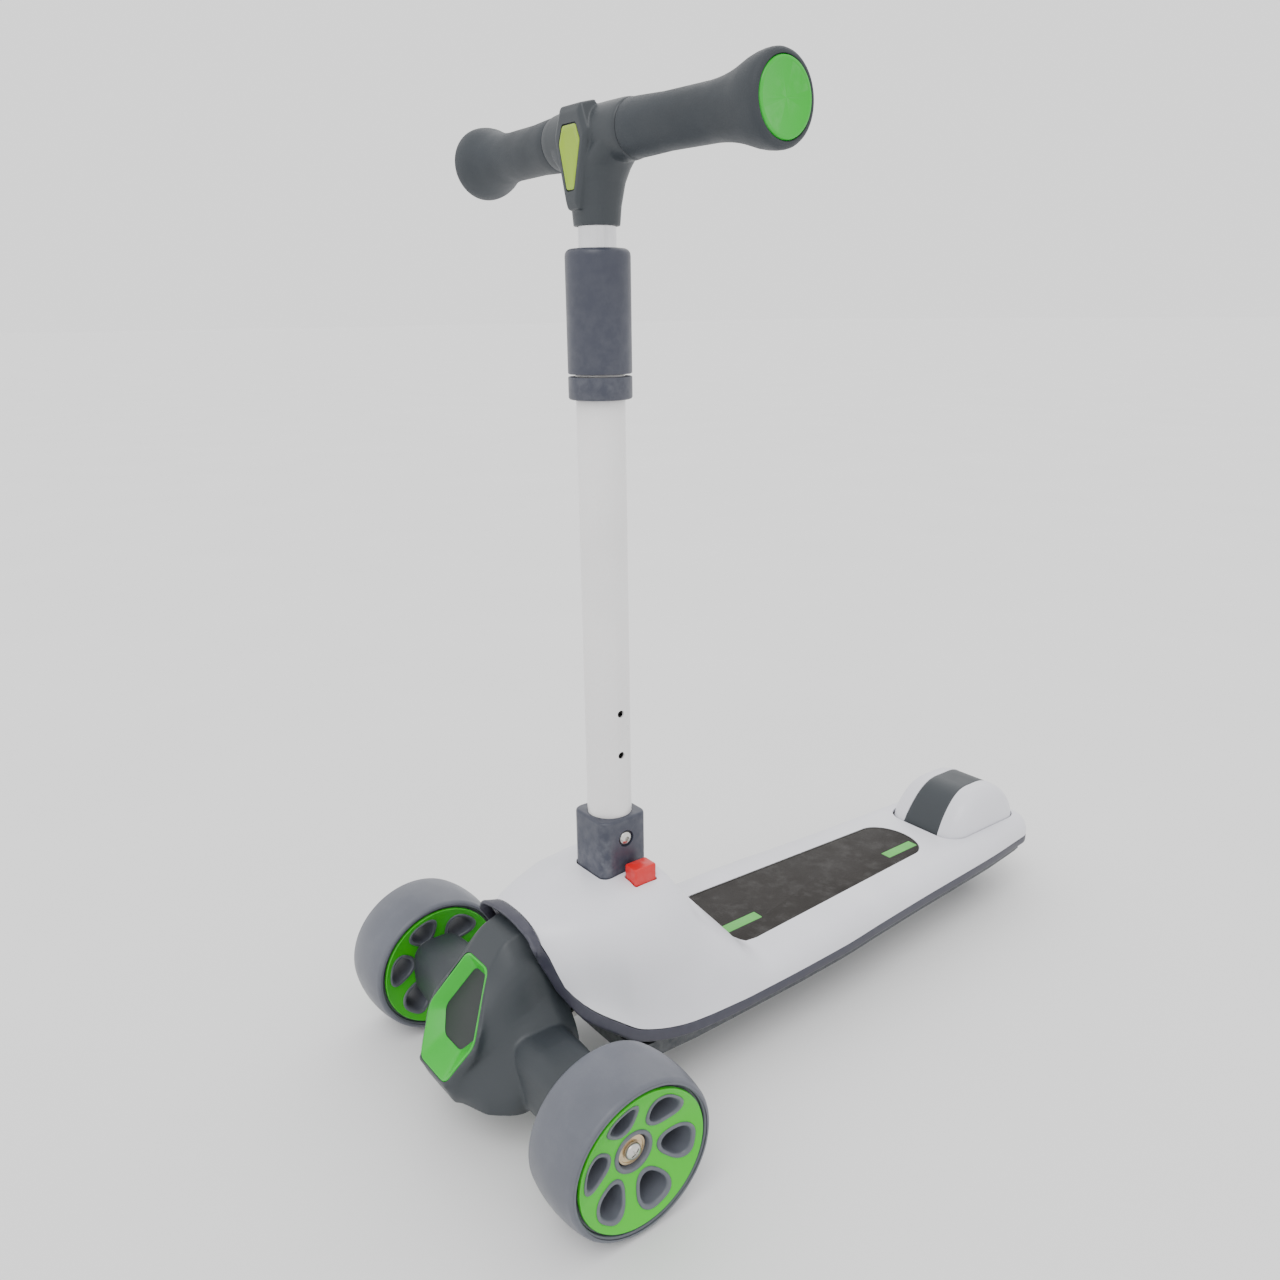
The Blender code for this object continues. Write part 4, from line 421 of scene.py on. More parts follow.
def metal(name, colour, roughness, stretch=(1.0, 1.0, 1.0), scratch_scale=240.0):
    """Drawn or plated metal: stretched scratches, patchy polish and a slightly uneven tint."""
    look = Look(name)
    scratch = look.noise(scratch_scale, 5.0, 0.7, stretch)
    base = look.mix(look.span(look.noise(30.0), 0.3, 0.7), shade_of(colour, 0.86), shade_of(colour, 1.05))
    base = look.mix(look.span(scratch, 0.45, 0.75, 0.0, 0.25), base, shade_of(colour, 0.62))
    rough = look.span(scratch, 0.3, 0.7, roughness - 0.06, roughness + 0.12)
    normal = look.bump(scratch, 0.12, 0.0002)
    return look.finished(base, rough, normal, Metallic=1.0)


def rubbery(name, colour, roughness, pebble_scale, pebble, dust=0.10):
    """Rubber or urethane: pebbled skin with painted shade in its hollows, patches of dust and a dull, uneven
    sheen.
    """
    look = Look(name)
    pebbles = look.grains(pebble_scale)
    drift = look.span(look.noise(14.0, 4.0), 0.3, 0.7)
    base = look.mix(drift, shade_of(colour, 0.88), shade_of(colour, 1.12))
    greyed = tuple(channel * 0.5 + 0.22 for channel in colour)
    base = look.mix(look.span(look.noise(55.0, 6.0, 0.7), 0.5, 0.8, 0.0, dust), base, greyed)
    # painted shade: the pebbles' hollows, where the bump is lowest, are darkened
    base = look.mix(look.span(pebbles, 0.0, 0.6, 0.18, 0.0), base, shade_of(colour, 0.6))
    rough = look.span(look.noise(40.0, 4.0), 0.3, 0.7, roughness - 0.05, roughness + 0.08)
    normal = look.bump(pebbles, pebble, 0.0004)
    return look.finished(base, rough, normal, Specular_IOR_Level=0.4)


WHITE = moulded("white_shell", (0.71, 0.71, 0.76), 0.38, 0.05, 700.0, 0.05, coat=0.15)
WHITE_PAINT = moulded("white_paint", (0.80, 0.79, 0.79), 0.30, 0.03, 380.0, 0.0, coat=0.30)
SLATE = moulded("slate", (0.026, 0.032, 0.038), 0.46, 0.22, 1500.0, 0.30)
GRIP = rubbery("grip_rubber", (0.027, 0.033, 0.040), 0.55, 1400.0, 0.30, 0.03)
STRIP = moulded("strip", (0.030, 0.030, 0.048), 0.42, 0.14, 1200.0, 0.25)
COLLAR = moulded("collar", (0.034, 0.038, 0.058), 0.40, 0.16, 1300.0, 0.35)
MAT = rubbery("mat_grit", (0.024, 0.021, 0.019), 0.80, 1100.0, 0.9, 0.18)
MARK = rubbery("mark_paint", (0.12, 0.46, 0.10), 0.70, 1100.0, 0.7, 0.05)
TYRE = rubbery("tyre_urethane", (0.105, 0.112, 0.135), 0.36, 1800.0, 0.12)
WHEEL_GREY = moulded("wheel_grey", (0.100, 0.108, 0.130), 0.42, 0.12, 1300.0, 0.30)
WHEEL_GREEN = moulded("wheel_green", (0.035, 0.47, 0.004), 0.44, 0.14, 1300.0, 0.25)
CAP_GREEN = moulded("cap_green", (0.002, 0.40, 0.008), 0.38, 0.10, 1300.0, 0.20)
INLAY = moulded("inlay_green", (0.27, 0.42, 0.012), 0.45, 0.20, 1500.0, 0.30)
RED = moulded("red_button", (0.56, 0.002, 0.003), 0.36, 0.10, 1200.0, 0.25)
DARK = moulded("dark_inset", (0.016, 0.020, 0.020), 0.55, 0.35, 1100.0, 0.10)
RUBBER = rubbery("bush_rubber", (0.02, 0.02, 0.02), 0.70, 900.0, 0.30)
ALUMINIUM = metal("aluminium", (0.78, 0.78, 0.80), 0.22, (1.0, 1.0, 0.05))
STEEL = metal("zinc_steel", (0.62, 0.61, 0.58), 0.28)
BRASSY = metal("bearing_steel", (0.66, 0.52, 0.34), 0.30)
SPRING = metal("spring_steel", (0.38, 0.38, 0.40), 0.34)
SLOT_LOOKS = { "white_plastic": WHITE, "white_paint": WHITE_PAINT, "slate_plastic": SLATE,
              "strip_plastic": STRIP, "collar_plastic": COLLAR, "mat_rubber": MAT, "mark_green": MARK,
              "bush_rubber": RUBBER, "tyre_grey": TYRE, "wheel_grey": WHEEL_GREY,
              "wheel_green": WHEEL_GREEN, "cap_green": CAP_GREEN, "inlay_green": INLAY, "red_plastic": RED,
              "aluminium": ALUMINIUM, "steel": STEEL, "spring_steel": SPRING, }


def dress_frame():
    """Every CAD node that stays gets the finished material of its slot."""
    slots = {part["node"]: part["material_slot"] for part in frame["record"]["subparts"]}
    for node, obj in frame["nodes"].items():
        look = SLOT_LOOKS[slots[node]]
        if not obj.material_slots:
            obj.data.materials.append(look)
        for material_slot in obj.material_slots:
            material_slot.material = look


# ---- deck surface
def deck_stations():
    """Half sections of the shell: y, top z, flat half width, two handles, edge (x, z)."""
    w = DECK_HALF_WIDTH
    top = DECK_TOP
    edge = EDGE_HEIGHT
    run = DECK_END - HOOD_BACK
    hood = (
        (HOOD_FRONT, top + 0.0853, 0.004, 0.18 * w, top + 0.0853, 0.39 * w, top + 0.082, 0.45 * w,
         top + 0.072),
        (0.014, top + 0.0860, 0.005, 0.38 * w, top + 0.086, 0.53 * w, top + 0.076, 0.52 * w, top + 0.055),
        (0.020, top + 0.0867, 0.006, 0.56 * w, top + 0.088, 0.62 * w, top + 0.066, 0.58 * w, top + 0.037),
        (0.030, top + 0.0878, 0.007, 0.82 * w, top + 0.091, 0.60 * w, top + 0.046, 0.75 * w, top + 0.024),
        (0.050, top + 0.0895, 0.009, 1.05 * w, top + 0.094, 0.66 * w, top + 0.034, 0.90 * w, top + 0.009),
        (0.067, top + 0.0915, 0.010, 1.16 * w, top + 0.096, 0.76 * w, top + 0.030, 0.97 * w, edge + 0.018),
        (0.100, top + 0.0950, 0.010, 1.17 * w, top + 0.098, 0.84 * w, top + 0.026, 0.995 * w, edge + 0.007),
        (0.117, top + 0.0950, 0.010, 1.15 * w, top + 0.097, 0.87 * w, top + 0.024, w, edge + 0.004),
        (0.137, top + 0.0720, 0.012, 1.10 * w, top + 0.073, 0.90 * w, top + 0.016, w, edge + 0.002),
        (0.154, top + 0.0520, 0.016, 1.05 * w, top + 0.052, 0.94 * w, top + 0.008, w, edge + 0.001),
        (0.175, top + 0.0270, 0.026, w, top + 0.027, 0.98 * w, top - 0.002, w, edge),
        (0.190, top + 0.0080, 0.036, 0.95 * w, top + 0.008, w, top - 0.004, w, edge),
        (HOOD_BACK, top, 0.045, 0.92 * w, top, w, top - 0.005, w, edge),
    )
    deck = (
        (0.20, 0.565, 0.87, 0.98, 0.980),
        (0.33, 0.540, 0.81, 0.93, 0.930),
        (0.50, 0.510, 0.74, 0.87, 0.870),
        (0.79, 0.500, 0.67, 0.79, 0.785),
        (0.93, 0.480, 0.60, 0.73, 0.715),
        (1.00, 0.460, 0.57, 0.69, 0.690),
    )
    rows = [(HOOD_BACK + s * run, top, f * w, a * w, top, b * w, top - 0.005, e * w, edge) for s, f, a, b,
            e in deck]
    return hood + tuple(rows)


STATIONS = deck_stations()


def tail_share(place, power):
    share = max(0.0, min(1.0, (place - (DECK_END - TAIL_ROUND)) / TAIL_ROUND))
    return (1 - share ** power) ** (1 / power)


def deck_point(u, place):
    """Point of the shell's outer face; u runs from -1 (right edge) over the top to 1."""
    top, flat, ax, az, bx, bz, ex, ez = eased(STATIONS, place)
    side = abs(u)
    flat_share = 0.25
    if side <= flat_share:
        x, z = flat * side / flat_share, top
    else:
        t = (side - flat_share) / (1 - flat_share)
        x = bezier((flat, ax, bx, ex), t)
        z = bezier((top, az, bz, ez), t)
    x *= tail_share(place, 2.6)
    z = EDGE_HEIGHT + (z - EDGE_HEIGHT) * tail_share(place, 2.2)
    return Vector((x if u >= 0 else -x, place, z))


def deck_rows(hood_step=0.004, deck_step=0.012, tail_rows=14):
    rows = [HOOD_FRONT]
    while rows[-1] + hood_step < HOOD_BACK:
        rows.append(rows[-1] + hood_step)
    rows.append(HOOD_BACK)
    tail = DECK_END - TAIL_ROUND
    while rows[-1] + deck_step * 1.5 < tail:
        rows.append(rows[-1] + deck_step)
    return rows + [tail + TAIL_ROUND * sin(pi / 2 * k / tail_rows) for k in range(tail_rows)]


def shell_grid(columns=24):
    us = [k / columns for k in range(-columns, columns + 1)]
    return [[deck_point(u, place) for u in us] for place in deck_rows()]


def brake_outline(spread):
    return rounded_rectangle(BRAKE_HALF_WIDTH + spread, (BRAKE_BACK - BRAKE_FRONT) / 2 + spread,
                             BRAKE_CORNER + spread, 10, (0.0, (BRAKE_FRONT + BRAKE_BACK) / 2))


def mat_outline(spread=0.0):
    """Tapered mat with cropped front corners and a round back."""
    a, b = 0.043 + spread, 0.033 + spread
    front, back = 0.191 - spread, 0.459 + spread
    corners = [(0.55 * a, front), (0.80 * a, front + 0.005), (0.96 * a, front + 0.013), (a, front + 0.024)]
    centre = back - 0.75 * b
    steps = 20
    curve = [(b * cos(pi / 2 * k / steps),
              centre + 0.75 * b * sin(pi / 2 * k / steps)) for k in range(steps)]
    half = corners + curve
    return half + [(0.0, back)] + [(-x, y) for x, y in reversed(half)]


def deck_shell():
    shape = bmesh.new()
    grid = [[shape.verts.new(point) for point in row] for row in shell_grid()]
    for near, far in zip(grid, grid[1:]):
        for k in range(len(near) - 1):
            shape.faces.new((near[k], near[k + 1], far[k + 1], far[k]))
    tip = shape.verts.new((0.0, DECK_END, EDGE_HEIGHT))
    for k in range(len(grid[-1]) - 1):
        shape.faces.new((grid[-1][k], grid[-1][k + 1], tip))
    piece = made("deck_shell", shape)
    modify(piece, "SOLIDIFY", thickness=SHELL_WALL, offset=-1.0, use_even_offset=True)
    settled(piece)
    hole = SOCKET_HALF + 0.0008
    cut(piece, prism(rounded_rectangle(hole, hole, 0.008, 8, (0.0, STEM_Y)), 0.10, 0.25))
    bx, by = button_middle()
    cut(piece, prism(rounded_rectangle(0.0078, 0.0108, 0.002, 4, (bx, by)), 0.12, 0.25))
    cut(piece, prism(brake_outline(0.0008), 0.040, 0.25))
    cut(piece, prism(mat_outline(0.0005), DECK_TOP - 0.0020, 0.25))
    shaded(piece, 32)
    return dress(piece, WHITE, "deck", "white_plastic", "upper_shell")


def edge_frames():
    """Places round the shell's edge with the directions that carry its surface on past it."""
    grid = shell_grid()
    front, behind = grid[0], grid[1]
    half = list(zip(front, behind))[len(front) // 2:]
    path = [(p, p - b) for p, b in half[:-1]]
    path += [(row[-1], row[-1] - row[-2]) for row in grid]
    path.append((Vector((0.0, DECK_END, EDGE_HEIGHT)), Vector((0.0, 0.0, -1.0))))
    path += [(Vector((-p.x, p.y, p.z)), Vector((-d.x, d.y, d.z))) for p, d in reversed(path[1:-1])]
    count = len(path)
    frames = []
    for k, (point, away) in enumerate(path):
        along = (path[(k + 1) % count][0] - path[k - 1][0]).normalized()
        away = (away - along * away.dot(along)).normalized()
        inward = along.cross(away)
        inside = Vector((0.0, min(point.y + 0.02, DECK_END - 2 * TAIL_ROUND), 0.07))
        if inward.dot(inside - point) < 0:
            inward = -inward
        frames.append((point, away, inward))
    return frames


def edge_strip():
    """Dark lip with a soft outer corner and a fine groove where it meets the white shell."""
    rings = []
    t = STRIP_THICKNESS
    section = ((0.0004, 0.0007), (0.0009, 0.0001), (0.0016, 0.0), (STRIP_WIDTH - 0.0016, 0.0),
               (STRIP_WIDTH - 0.0006, 0.0003), (STRIP_WIDTH, 0.0011), (STRIP_WIDTH, t - 0.0004),
               (STRIP_WIDTH - 0.0004, t), (0.0016, t), (0.0010, t - 0.0008))
    for point, away, inward in edge_frames():
        rings.append([point + away * a + inward * b for a, b in section])
    piece = made("edge_lip", skinned(rings, loop=True))
    return dress(shaded(piece, 40), STRIP, "deck", "strip_plastic", "edge_strip")


def deck_mat():
    """Gritty mat with a thin plain border and beds for its two marks."""
    low = DECK_TOP - 0.0020 + GAP
    top = low + 0.0017
    rings = [[(x, y, z) for x, y in mat_outline(spread)]
             for spread, z in ((0.0, low), (0.0, top - 0.0003), (-0.0003, top), (-0.0016, top),
                               (-0.0019, top - 0.0003), (-0.0022, top - 0.0003), (-0.0025, top))]
    piece = made("deck_mat_grit", skinned(rings))
    for place in mark_places():
        outline = rounded_rectangle(0.0055, 0.0208, 0.0010, 3, place)
        cut(piece, prism(outline, top - 0.0008, top + 0.01))
    dress(shaded(piece, 40), MAT, "deck", "mat_rubber", "deck_mat")
    for name, place in zip(("mat_mark_front", "mat_mark_rear"), mark_places()):
        outline = rounded_rectangle(0.00525, 0.0205, 0.0008, 3, place)
        mark = made(name + "_inlay", prism(outline, top - 0.0006, top))
        dress(shaded(mark, 40, 0.0002, 1), MARK, "deck", "mark_green", name)


def mark_places():
    return ((0.018, 0.220), (0.018, 0.430))


# ---- front truck
def nose_rows():
    """Half outlines of the nose: y, then (x, z) from its flat top edge to its lower edge."""
    return (
        (-0.0680, 0.0190, 0.0600, 0.0196, 0.0595, 0.0199, 0.0588, 0.0199, 0.0582, 0.0195, 0.0575, 0.0185,
         0.0570),
        (-0.0640, 0.0225, 0.0664, 0.0231, 0.0640, 0.0234, 0.0610, 0.0233, 0.0580, 0.0225, 0.0530, 0.0205,
         0.0485),
        (-0.0595, 0.0270, 0.0742, 0.0268, 0.0700, 0.0266, 0.0660, 0.0266, 0.0610, 0.0262, 0.0500, 0.0200,
         0.0400),
        (-0.0475, 0.0350, 0.0950, 0.0352, 0.0880, 0.0340, 0.0800, 0.0330, 0.0720, 0.0440, 0.0540, 0.0460,
         0.0400),
        (-0.0250, 0.0165, 0.1345, 0.0290, 0.1220, 0.0400, 0.1010, 0.0490, 0.0860, 0.0640, 0.0600, 0.0600,
         0.0400),
        (-0.0080, 0.0160, 0.1520, 0.0310, 0.1340, 0.0410, 0.1060, 0.0540, 0.0880, 0.0640, 0.0600, 0.0580,
         0.0400),
        (0.0100, 0.0170, 0.1555, 0.0300, 0.1380, 0.0375, 0.1100, 0.0530, 0.0880, 0.0600, 0.0600, 0.0550,
         0.0420),
        (0.0260, 0.0160, 0.1470, 0.0300, 0.1260, 0.0360, 0.1060, 0.0520, 0.0840, 0.0560, 0.0600, 0.0520,
         0.0440),
    )


def nose_ring(y, inset=0.0, between=4):
    """One smooth closed outline of the nose at a distance from the front axle."""
    values = eased(nose_rows(), y)
    half = [Vector((values[k], values[k + 1])) for k in range(0, 12, 2)]
    middle_z = (half[0].y + half[-1].y) / 2
    half = [Vector((max(0.002, p.x - inset), p.y - inset if p.y > middle_z else p.y + inset)) for p in half]
    line = []
    for k in range(len(half) - 1):
        before = half[max(0, k - 1)]
        after = half[min(len(half) - 1, k + 2)]
        for j in range(between):
            t = j / between
            a, b = half[k], half[k + 1]
            line.append(0.5 * (2 * a + (b - before) * t + (2 * before - 5 * a + 4 * b - after) * t * t
                               + (3 * a - before - 3 * b + after) * t ** 3))
    line.append(half[-1])
    shift = inset if y < 0 else 0.0
    right = [(p.x, y + shift, p.y) for p in line]
    return right + [(-x, y_, z) for x, y_, z in reversed(right)]


def arm_ring(x, scale, steps=40):
    """Section of the arm that reaches to the wheel, at a distance from the middle."""
    mid_y, mid_z = -0.0045, 0.0665
    half_y, half_z = 0.0255 * scale, 0.0285 * scale
    points = []
    for k in range(steps):
        c, s = cos(2 * pi * k / steps), sin(2 * pi * k / steps)
        points.append((x, mid_y + half_y * abs(c) ** 0.62 * (1 if c >= 0 else -1),
                       mid_z + half_z * abs(s) ** 0.62 * (1 if s >= 0 else -1)))
    return points


ARM_REACH = HALF_TRACK - FRONT_WIDTH / 2 - 0.0016
BADGE_FLOOR_HALVES = (0.0085, 0.0240, 0.0120)


def badge_outline(halves, levels, radius):
    right = list(zip(halves, levels))
    corners = [(half, -level) for half, level in right] + [(-half, -level) for half,
                                                           level in reversed(right)]
    return softened(corners, radius)


def badge_rim(spread=0.0):
    return badge_outline((0.0150 + spread, 0.0335 + spread, 0.0190 + spread),
                         (-spread, 0.050, 0.086 + spread), 0.006)


def badge_floor(spread=0.0):
    halves = [half + spread for half in BADGE_FLOOR_HALVES]
    return badge_outline(halves, (0.0085 - spread, 0.047, 0.064 + spread), 0.0045)


def on_badge(name, levels, loop=True):
    rings = [[(a, b, height) for a, b in outline] for outline, height in levels]
    return made(name, skinned(rings, loop=loop), Matrix.Rotation(BADGE_SLOPE, 4, "X"), BADGE_TOP)


def nose_cowl():
    """Dark cowl: the nose and its two arms, blended where they meet, open behind."""
    rows = [-0.068 + 0.094 * k / 46 for k in range(47)]
    nose = skinned([nose_ring(y) for y in rows])
    arms = ((-ARM_REACH, 0.86), (-0.100, 0.90), (-0.070, 0.96), (0.0, 0.97), (0.070, 0.96), (0.100, 0.90),
            (ARM_REACH, 0.86))
    arm = skinned([arm_ring(x, scale) for x, scale in arms])
    piece = made("nose_cowl", merged(nose, arm))
    modify(piece, "REMESH", mode="VOXEL", voxel_size=0.0011)
    modify(piece, "SMOOTH", factor=0.5, iterations=7)
    settled(piece)
    hollow = [nose_ring(y, 0.003) for y in rows[6:]]
    behind = [(x * 1.02, y + 0.02, z) for x, y, z in hollow[-1]]
    cut(piece, skinned(hollow + [behind]))
    inner = ARM_REACH - 0.003
    cut(piece, skinned([arm_ring(x, s) for x, s in ((-inner, 0.74), (-0.069, 0.84), (0.069, 0.84),
                                                    (inner, 0.74))]))
    backing = on_badge("tool", ((badge_rim(0.0004), -0.0016), (badge_rim(0.0004), -0.0070),
                                (badge_floor(0.003), -0.0130)), False)
    carve(piece, backing, "UNION")
    carve(piece, on_badge("tool", ((badge_rim(GAP), 0.010), (badge_rim(GAP), -0.0034),
                                   (badge_floor(0.0026), -0.0095)), False))
    cut(piece, turned(((0.0, -0.13), (0.010, -0.13), (0.010, 0.13), (0.0, 0.13)), 40, "X", False), None,
        (0.0, 0.0, 0.060))
    dress(shaded(piece, 38), SLATE, "front_truck", "slate_plastic", "front_shell")


def badge():
    """Green ring with a fine lip and funnel walls, and the dark plate at its bottom."""
    lip = 0.0016
    rings = ((badge_rim(0.0), -0.0030), (badge_rim(0.0), -0.0004), (badge_rim(-0.0004), 0.0001),
             (badge_rim(-0.0012), 0.0001), (badge_rim(-lip), -0.0004), (badge_floor(0.0006), -0.0074),
             (badge_floor(), -0.0082), (badge_floor(0.0014), -0.0090))
    dress(shaded(on_badge("badge_ring", rings), 50), CAP_GREEN, "front_truck", "cap_green", "front_bezel")
    plate = on_badge("badge_floor", ((badge_floor(0.0010), -0.0094), (badge_floor(0.0008), -0.0086),
                                     (badge_floor(-0.0002), -0.0084)), False)
    dress(shaded(plate, 50), DARK, "front_truck", "slate_plastic")


# ---- wheels
def bowl_depth(radius):
    share = min(1.0, radius / DISC_RADIUS)
    return DISC_DEPTH * (1 - share * share) ** 0.85


def tunnel_ring(index, radius, height, side):
    """Rounded triangle round a tunnel, riding a height above the wheel's dished face."""
    turn = 2 * pi * index / TUNNELS + TUNNEL_START
    steps = 42
    points = []
    for k in range(steps):
        angle = 2 * pi * k / steps
        r = radius * (1 + 0.085 * cos(3 * (angle - pi)))
        a, b = TUNNEL_CIRCLE + r * cos(angle), r * sin(angle)
        x = FRONT_WIDTH / 2 - bowl_depth(sqrt(a * a + b * b)) + height
        points.append((side * x, a * cos(turn) - b * sin(turn), a * sin(turn) + b * cos(turn)))
    return points


def tunnel_tool(index, radius):
    ring = tunnel_ring(index, radius, 0.0, 1)
    return skinned([[(side * 0.04, y, z) for x, y, z in ring] for side in (-1, 1)])


def wheel_place(side):
    return (side * HALF_TRACK, 0.0, FRONT_RADIUS)


def tread(shoulder, half_width, steps):
    """Crowned tread between two shoulders, as (radius, along)."""
    crown = []
    for k in range(1, steps):
        share = 1 - 2 * k / steps
        crown.append((shoulder + TYRE_CROWN * (1 - share * share) ** 0.9, share * half_width))
    return crown


def front_tyre(side, name, body):
    """Wide smooth tyre with rounded shoulders and a crease round each sidewall."""
    half = FRONT_WIDTH / 2
    shoulder = FRONT_RADIUS - TYRE_CROWN
    inner = [(0.0524, half - 0.0046), (0.0524, half - 0.0022), (0.0528, half - 0.0016),
             (0.0538, half - 0.0012), (0.0541, half - 0.0018), (0.0545, half - 0.0018),
             (0.0548, half - 0.0010), (0.0552, half - 0.0002)]
    corner = arc((shoulder - TYRE_SHOULDER, half - TYRE_SHOULDER), TYRE_SHOULDER, 85, 5, 9)
    corner = [(r, min(x, half)) for r, x in corner]
    outer_half = inner + corner
    crown = tread(shoulder, half - TYRE_SHOULDER, 22)
    profile = outer_half + crown + [(r, -x) for r, x in reversed(outer_half)]
    piece = made(name + "_tyre_skin", turned(profile, 144, "X"), None, wheel_place(side))
    dress(shaded(piece, 30), TYRE, body, "tyre_grey", name + "_tyre")


def wheel_centre(side, name, body):
    """Grey core: lipped tunnels through the wheel, a hub ring each side and the outer flange."""
    half = FRONT_WIDTH / 2
    shapes = []
    for index in range(TUNNELS):
        outer = TUNNEL_RADIUS + TUNNEL_RIM
        section = ((outer, -0.0012), (outer - 0.0001, 0.0004), (outer - 0.0006, 0.0010),
                   (outer - 0.0013, 0.0012), (TUNNEL_RADIUS + 0.0011, 0.0011),
                   (TUNNEL_RADIUS + 0.0004, 0.0006), (TUNNEL_RADIUS, -0.0006))
        left = [tunnel_ring(index, r, h, 1) for r, h in section]
        right = [tunnel_ring(index, r, h, -1) for r, h in section]
        shapes.append(skinned(left + right[::-1], loop=True))
    face = half - DISC_DEPTH
    hub = [(0.0122, 0.004), (0.0122, face + 0.0012), (0.0128, face + 0.0020),
           (0.0136, face + 0.0022), (0.0150, face + 0.0021), (0.0156, face + 0.0014),
           (0.0158, face - 0.0002), (0.0158, face - 0.003)]
    shapes.append(turned(mirrored(hub), 96, "X"))
    flange = [(0.0480, half - 0.0060), (0.0508, half - 0.0044), (0.0521, half - 0.0040), (0.0521, 0.0)]
    shapes.append(turned(mirrored(flange), 96, "X"))
    piece = made(name + "_core_lips", merged(*shapes), None, wheel_place(side))
    dress(shaded(piece, 42), WHEEL_GREY, body, "wheel_grey", name + "_core")


def wheel_disc(side, outward, name, node, body):
    """Green dished plate with six holes; its rim is turned over against the tyre."""
    half = FRONT_WIDTH / 2
    radii = [0.0156 + (0.0495 - 0.0156) * k / 26 for k in range(27)]
    face = [(r, half - bowl_depth(r)) for r in radii]
    face += [(0.0500, half - 0.0006), (0.0504, half - 0.0009), (DISC_RADIUS + 0.0001, half - 0.0018)]
    profile = face + [(r, x - 0.0016) for r, x in reversed(face)]
    piece = made(name, turned([(r, outward * x) for r, x in profile], 144, "X"))
    for index in range(TUNNELS):
        cut(piece, tunnel_tool(index, TUNNEL_RADIUS + TUNNEL_RIM - 0.0005))
    piece.data.transform(Matrix.Translation(Vector(wheel_place(side))))
    dress(shaded(piece, 30), WHEEL_GREEN, body, "wheel_green", node)


def hub_screw(side, name, node, body):
    """Pan-head cross screw standing out of the hub over a brassy bearing ring."""
    face = FRONT_WIDTH / 2 - DISC_DEPTH - 0.0010
    r = 0.0062
    profile = [(0.0037, -0.030), (0.0037, 0.0), (r - 0.0004, 0.0), (r, 0.0006), (r, 0.0016)]
    profile += [(r * cos(radians(a)), 0.0016 + 0.0030 * sin(radians(a))) for a in (20, 40, 60, 75, 90)]
    shape = turned([(radius, x) for radius, x in profile], 64, "X", False)
    head = made(name, shape)
    for angle in (35, 125):
        slot_shape = prism(rounded_rectangle(0.0036, 0.0006, 0.0003, 2), 0.0024, 0.010)
        slot_shape.transform(Matrix.Rotation(pi / 2, 4, "Y") @ Matrix.Rotation(radians(angle), 4, "Z"))
        cut(head, slot_shape)
    head.data.transform(Matrix.Translation(-AXLE))
    head.data.transform(Matrix.Diagonal((side, 1.0, 1.0, 1.0)))
    if side < 0:
        head.data.flip_normals()
    head.data.transform(Matrix.Translation(AXLE + Vector((side * (HALF_TRACK + face), 0.0, FRONT_RADIUS))))
    dress(shaded(head, 30), STEEL, body, "steel", node)


def bearing_ring(side, name, node, body):
    """Bearings as seen in the hub: races, shield and the groove between."""
    face = FRONT_WIDTH / 2 - DISC_DEPTH - 0.0010
    half = [(0.0046, 0.0), (0.0046, face - 0.0002), (0.0060, face), (0.0068, face), (0.0070, face - 0.0005),
            (0.0092, face - 0.0005), (0.0094, face), (0.0108, face), (0.0110, face - 0.0003),
            (0.0110, face - 0.0068)]
    piece = made(name, turned(mirrored(half), 72, "X"), None, wheel_place(side))
    dress(shaded(piece, 30), BRASSY, body, "steel", node)


def front_wheels():
    for side, word in ((1, "left"), (-1, "right")):
        body = word + "_front_wheel"
        name = word + "_wheel"
        front_tyre(side, name, body)
        wheel_centre(side, name, body)
        wheel_disc(side, side, name + "_outer_dish", name + "_outer_disc", body)
        wheel_disc(side, -side, name + "_inner_dish", name + "_inner_disc", body)
        bearing_ring(side, name + "_bearing_rings", name + "_bearings", body)
        hub_screw(side, word + "_hub_screw", word + "_axle_bolt", "front_truck")


def rear_wheel():
    half = REAR_WIDTH / 2
    shoulder = REAR_RADIUS - TYRE_CROWN
    side = [(0.0380, half - 0.003), (0.0384, half - 0.0012), (0.0400, half - 0.0003), (0.0440, half)]
    side += arc((shoulder - 0.002, half - 0.002), 0.002, 80, 10, 4)
    crown = tread(shoulder, half - 0.0022, 16)
    profile = side + crown + [(r, -x) for r, x in reversed(side)]
    tyre = made("rear_tyre_skin", turned(profile, 112, "X"), None, REAR_AXLE)
    dress(shaded(tyre, 30), TYRE, "rear_wheel", "tyre_grey", "rear_tyre")
    core = [(0.0113, 0.004), (0.0113, half - 0.0012), (0.0120, half - 0.0010), (0.0150, half - 0.0010),
            (0.0156, half - 0.0016), (0.0172, half - 0.0058), (0.0330, half - 0.0062),
            (0.0340, half - 0.0054), (0.0345, half - 0.0032), (0.0377, half - 0.0030)]
    grey = made("rear_core_body", turned(mirrored(core), 96, "X"), None, REAR_AXLE)
    dress(shaded(grey, 30), WHEEL_GREY, "rear_wheel", "wheel_grey", "rear_core")


# ---- brake
DOME_LEVELS = [k / 24 for k in range(25)]


def dome_level(share, inset=0.0):
    high = BRAKE_TOP - inset
    low = DECK_TOP - 0.010
    z = low + (high - low) * sin(pi / 2 * share)
    front = BRAKE_FRONT + 0.048 * share ** 1.3 + inset
    back = BRAKE_BACK - 0.044 * share ** 1.7 - inset
    half_x = BRAKE_HALF_WIDTH - 0.021 * share ** 2.4 - inset
    corner = min(BRAKE_CORNER * (1 - 0.45 * share), 0.95 * (back - front) / 2)
    return z, front, back, half_x, corner


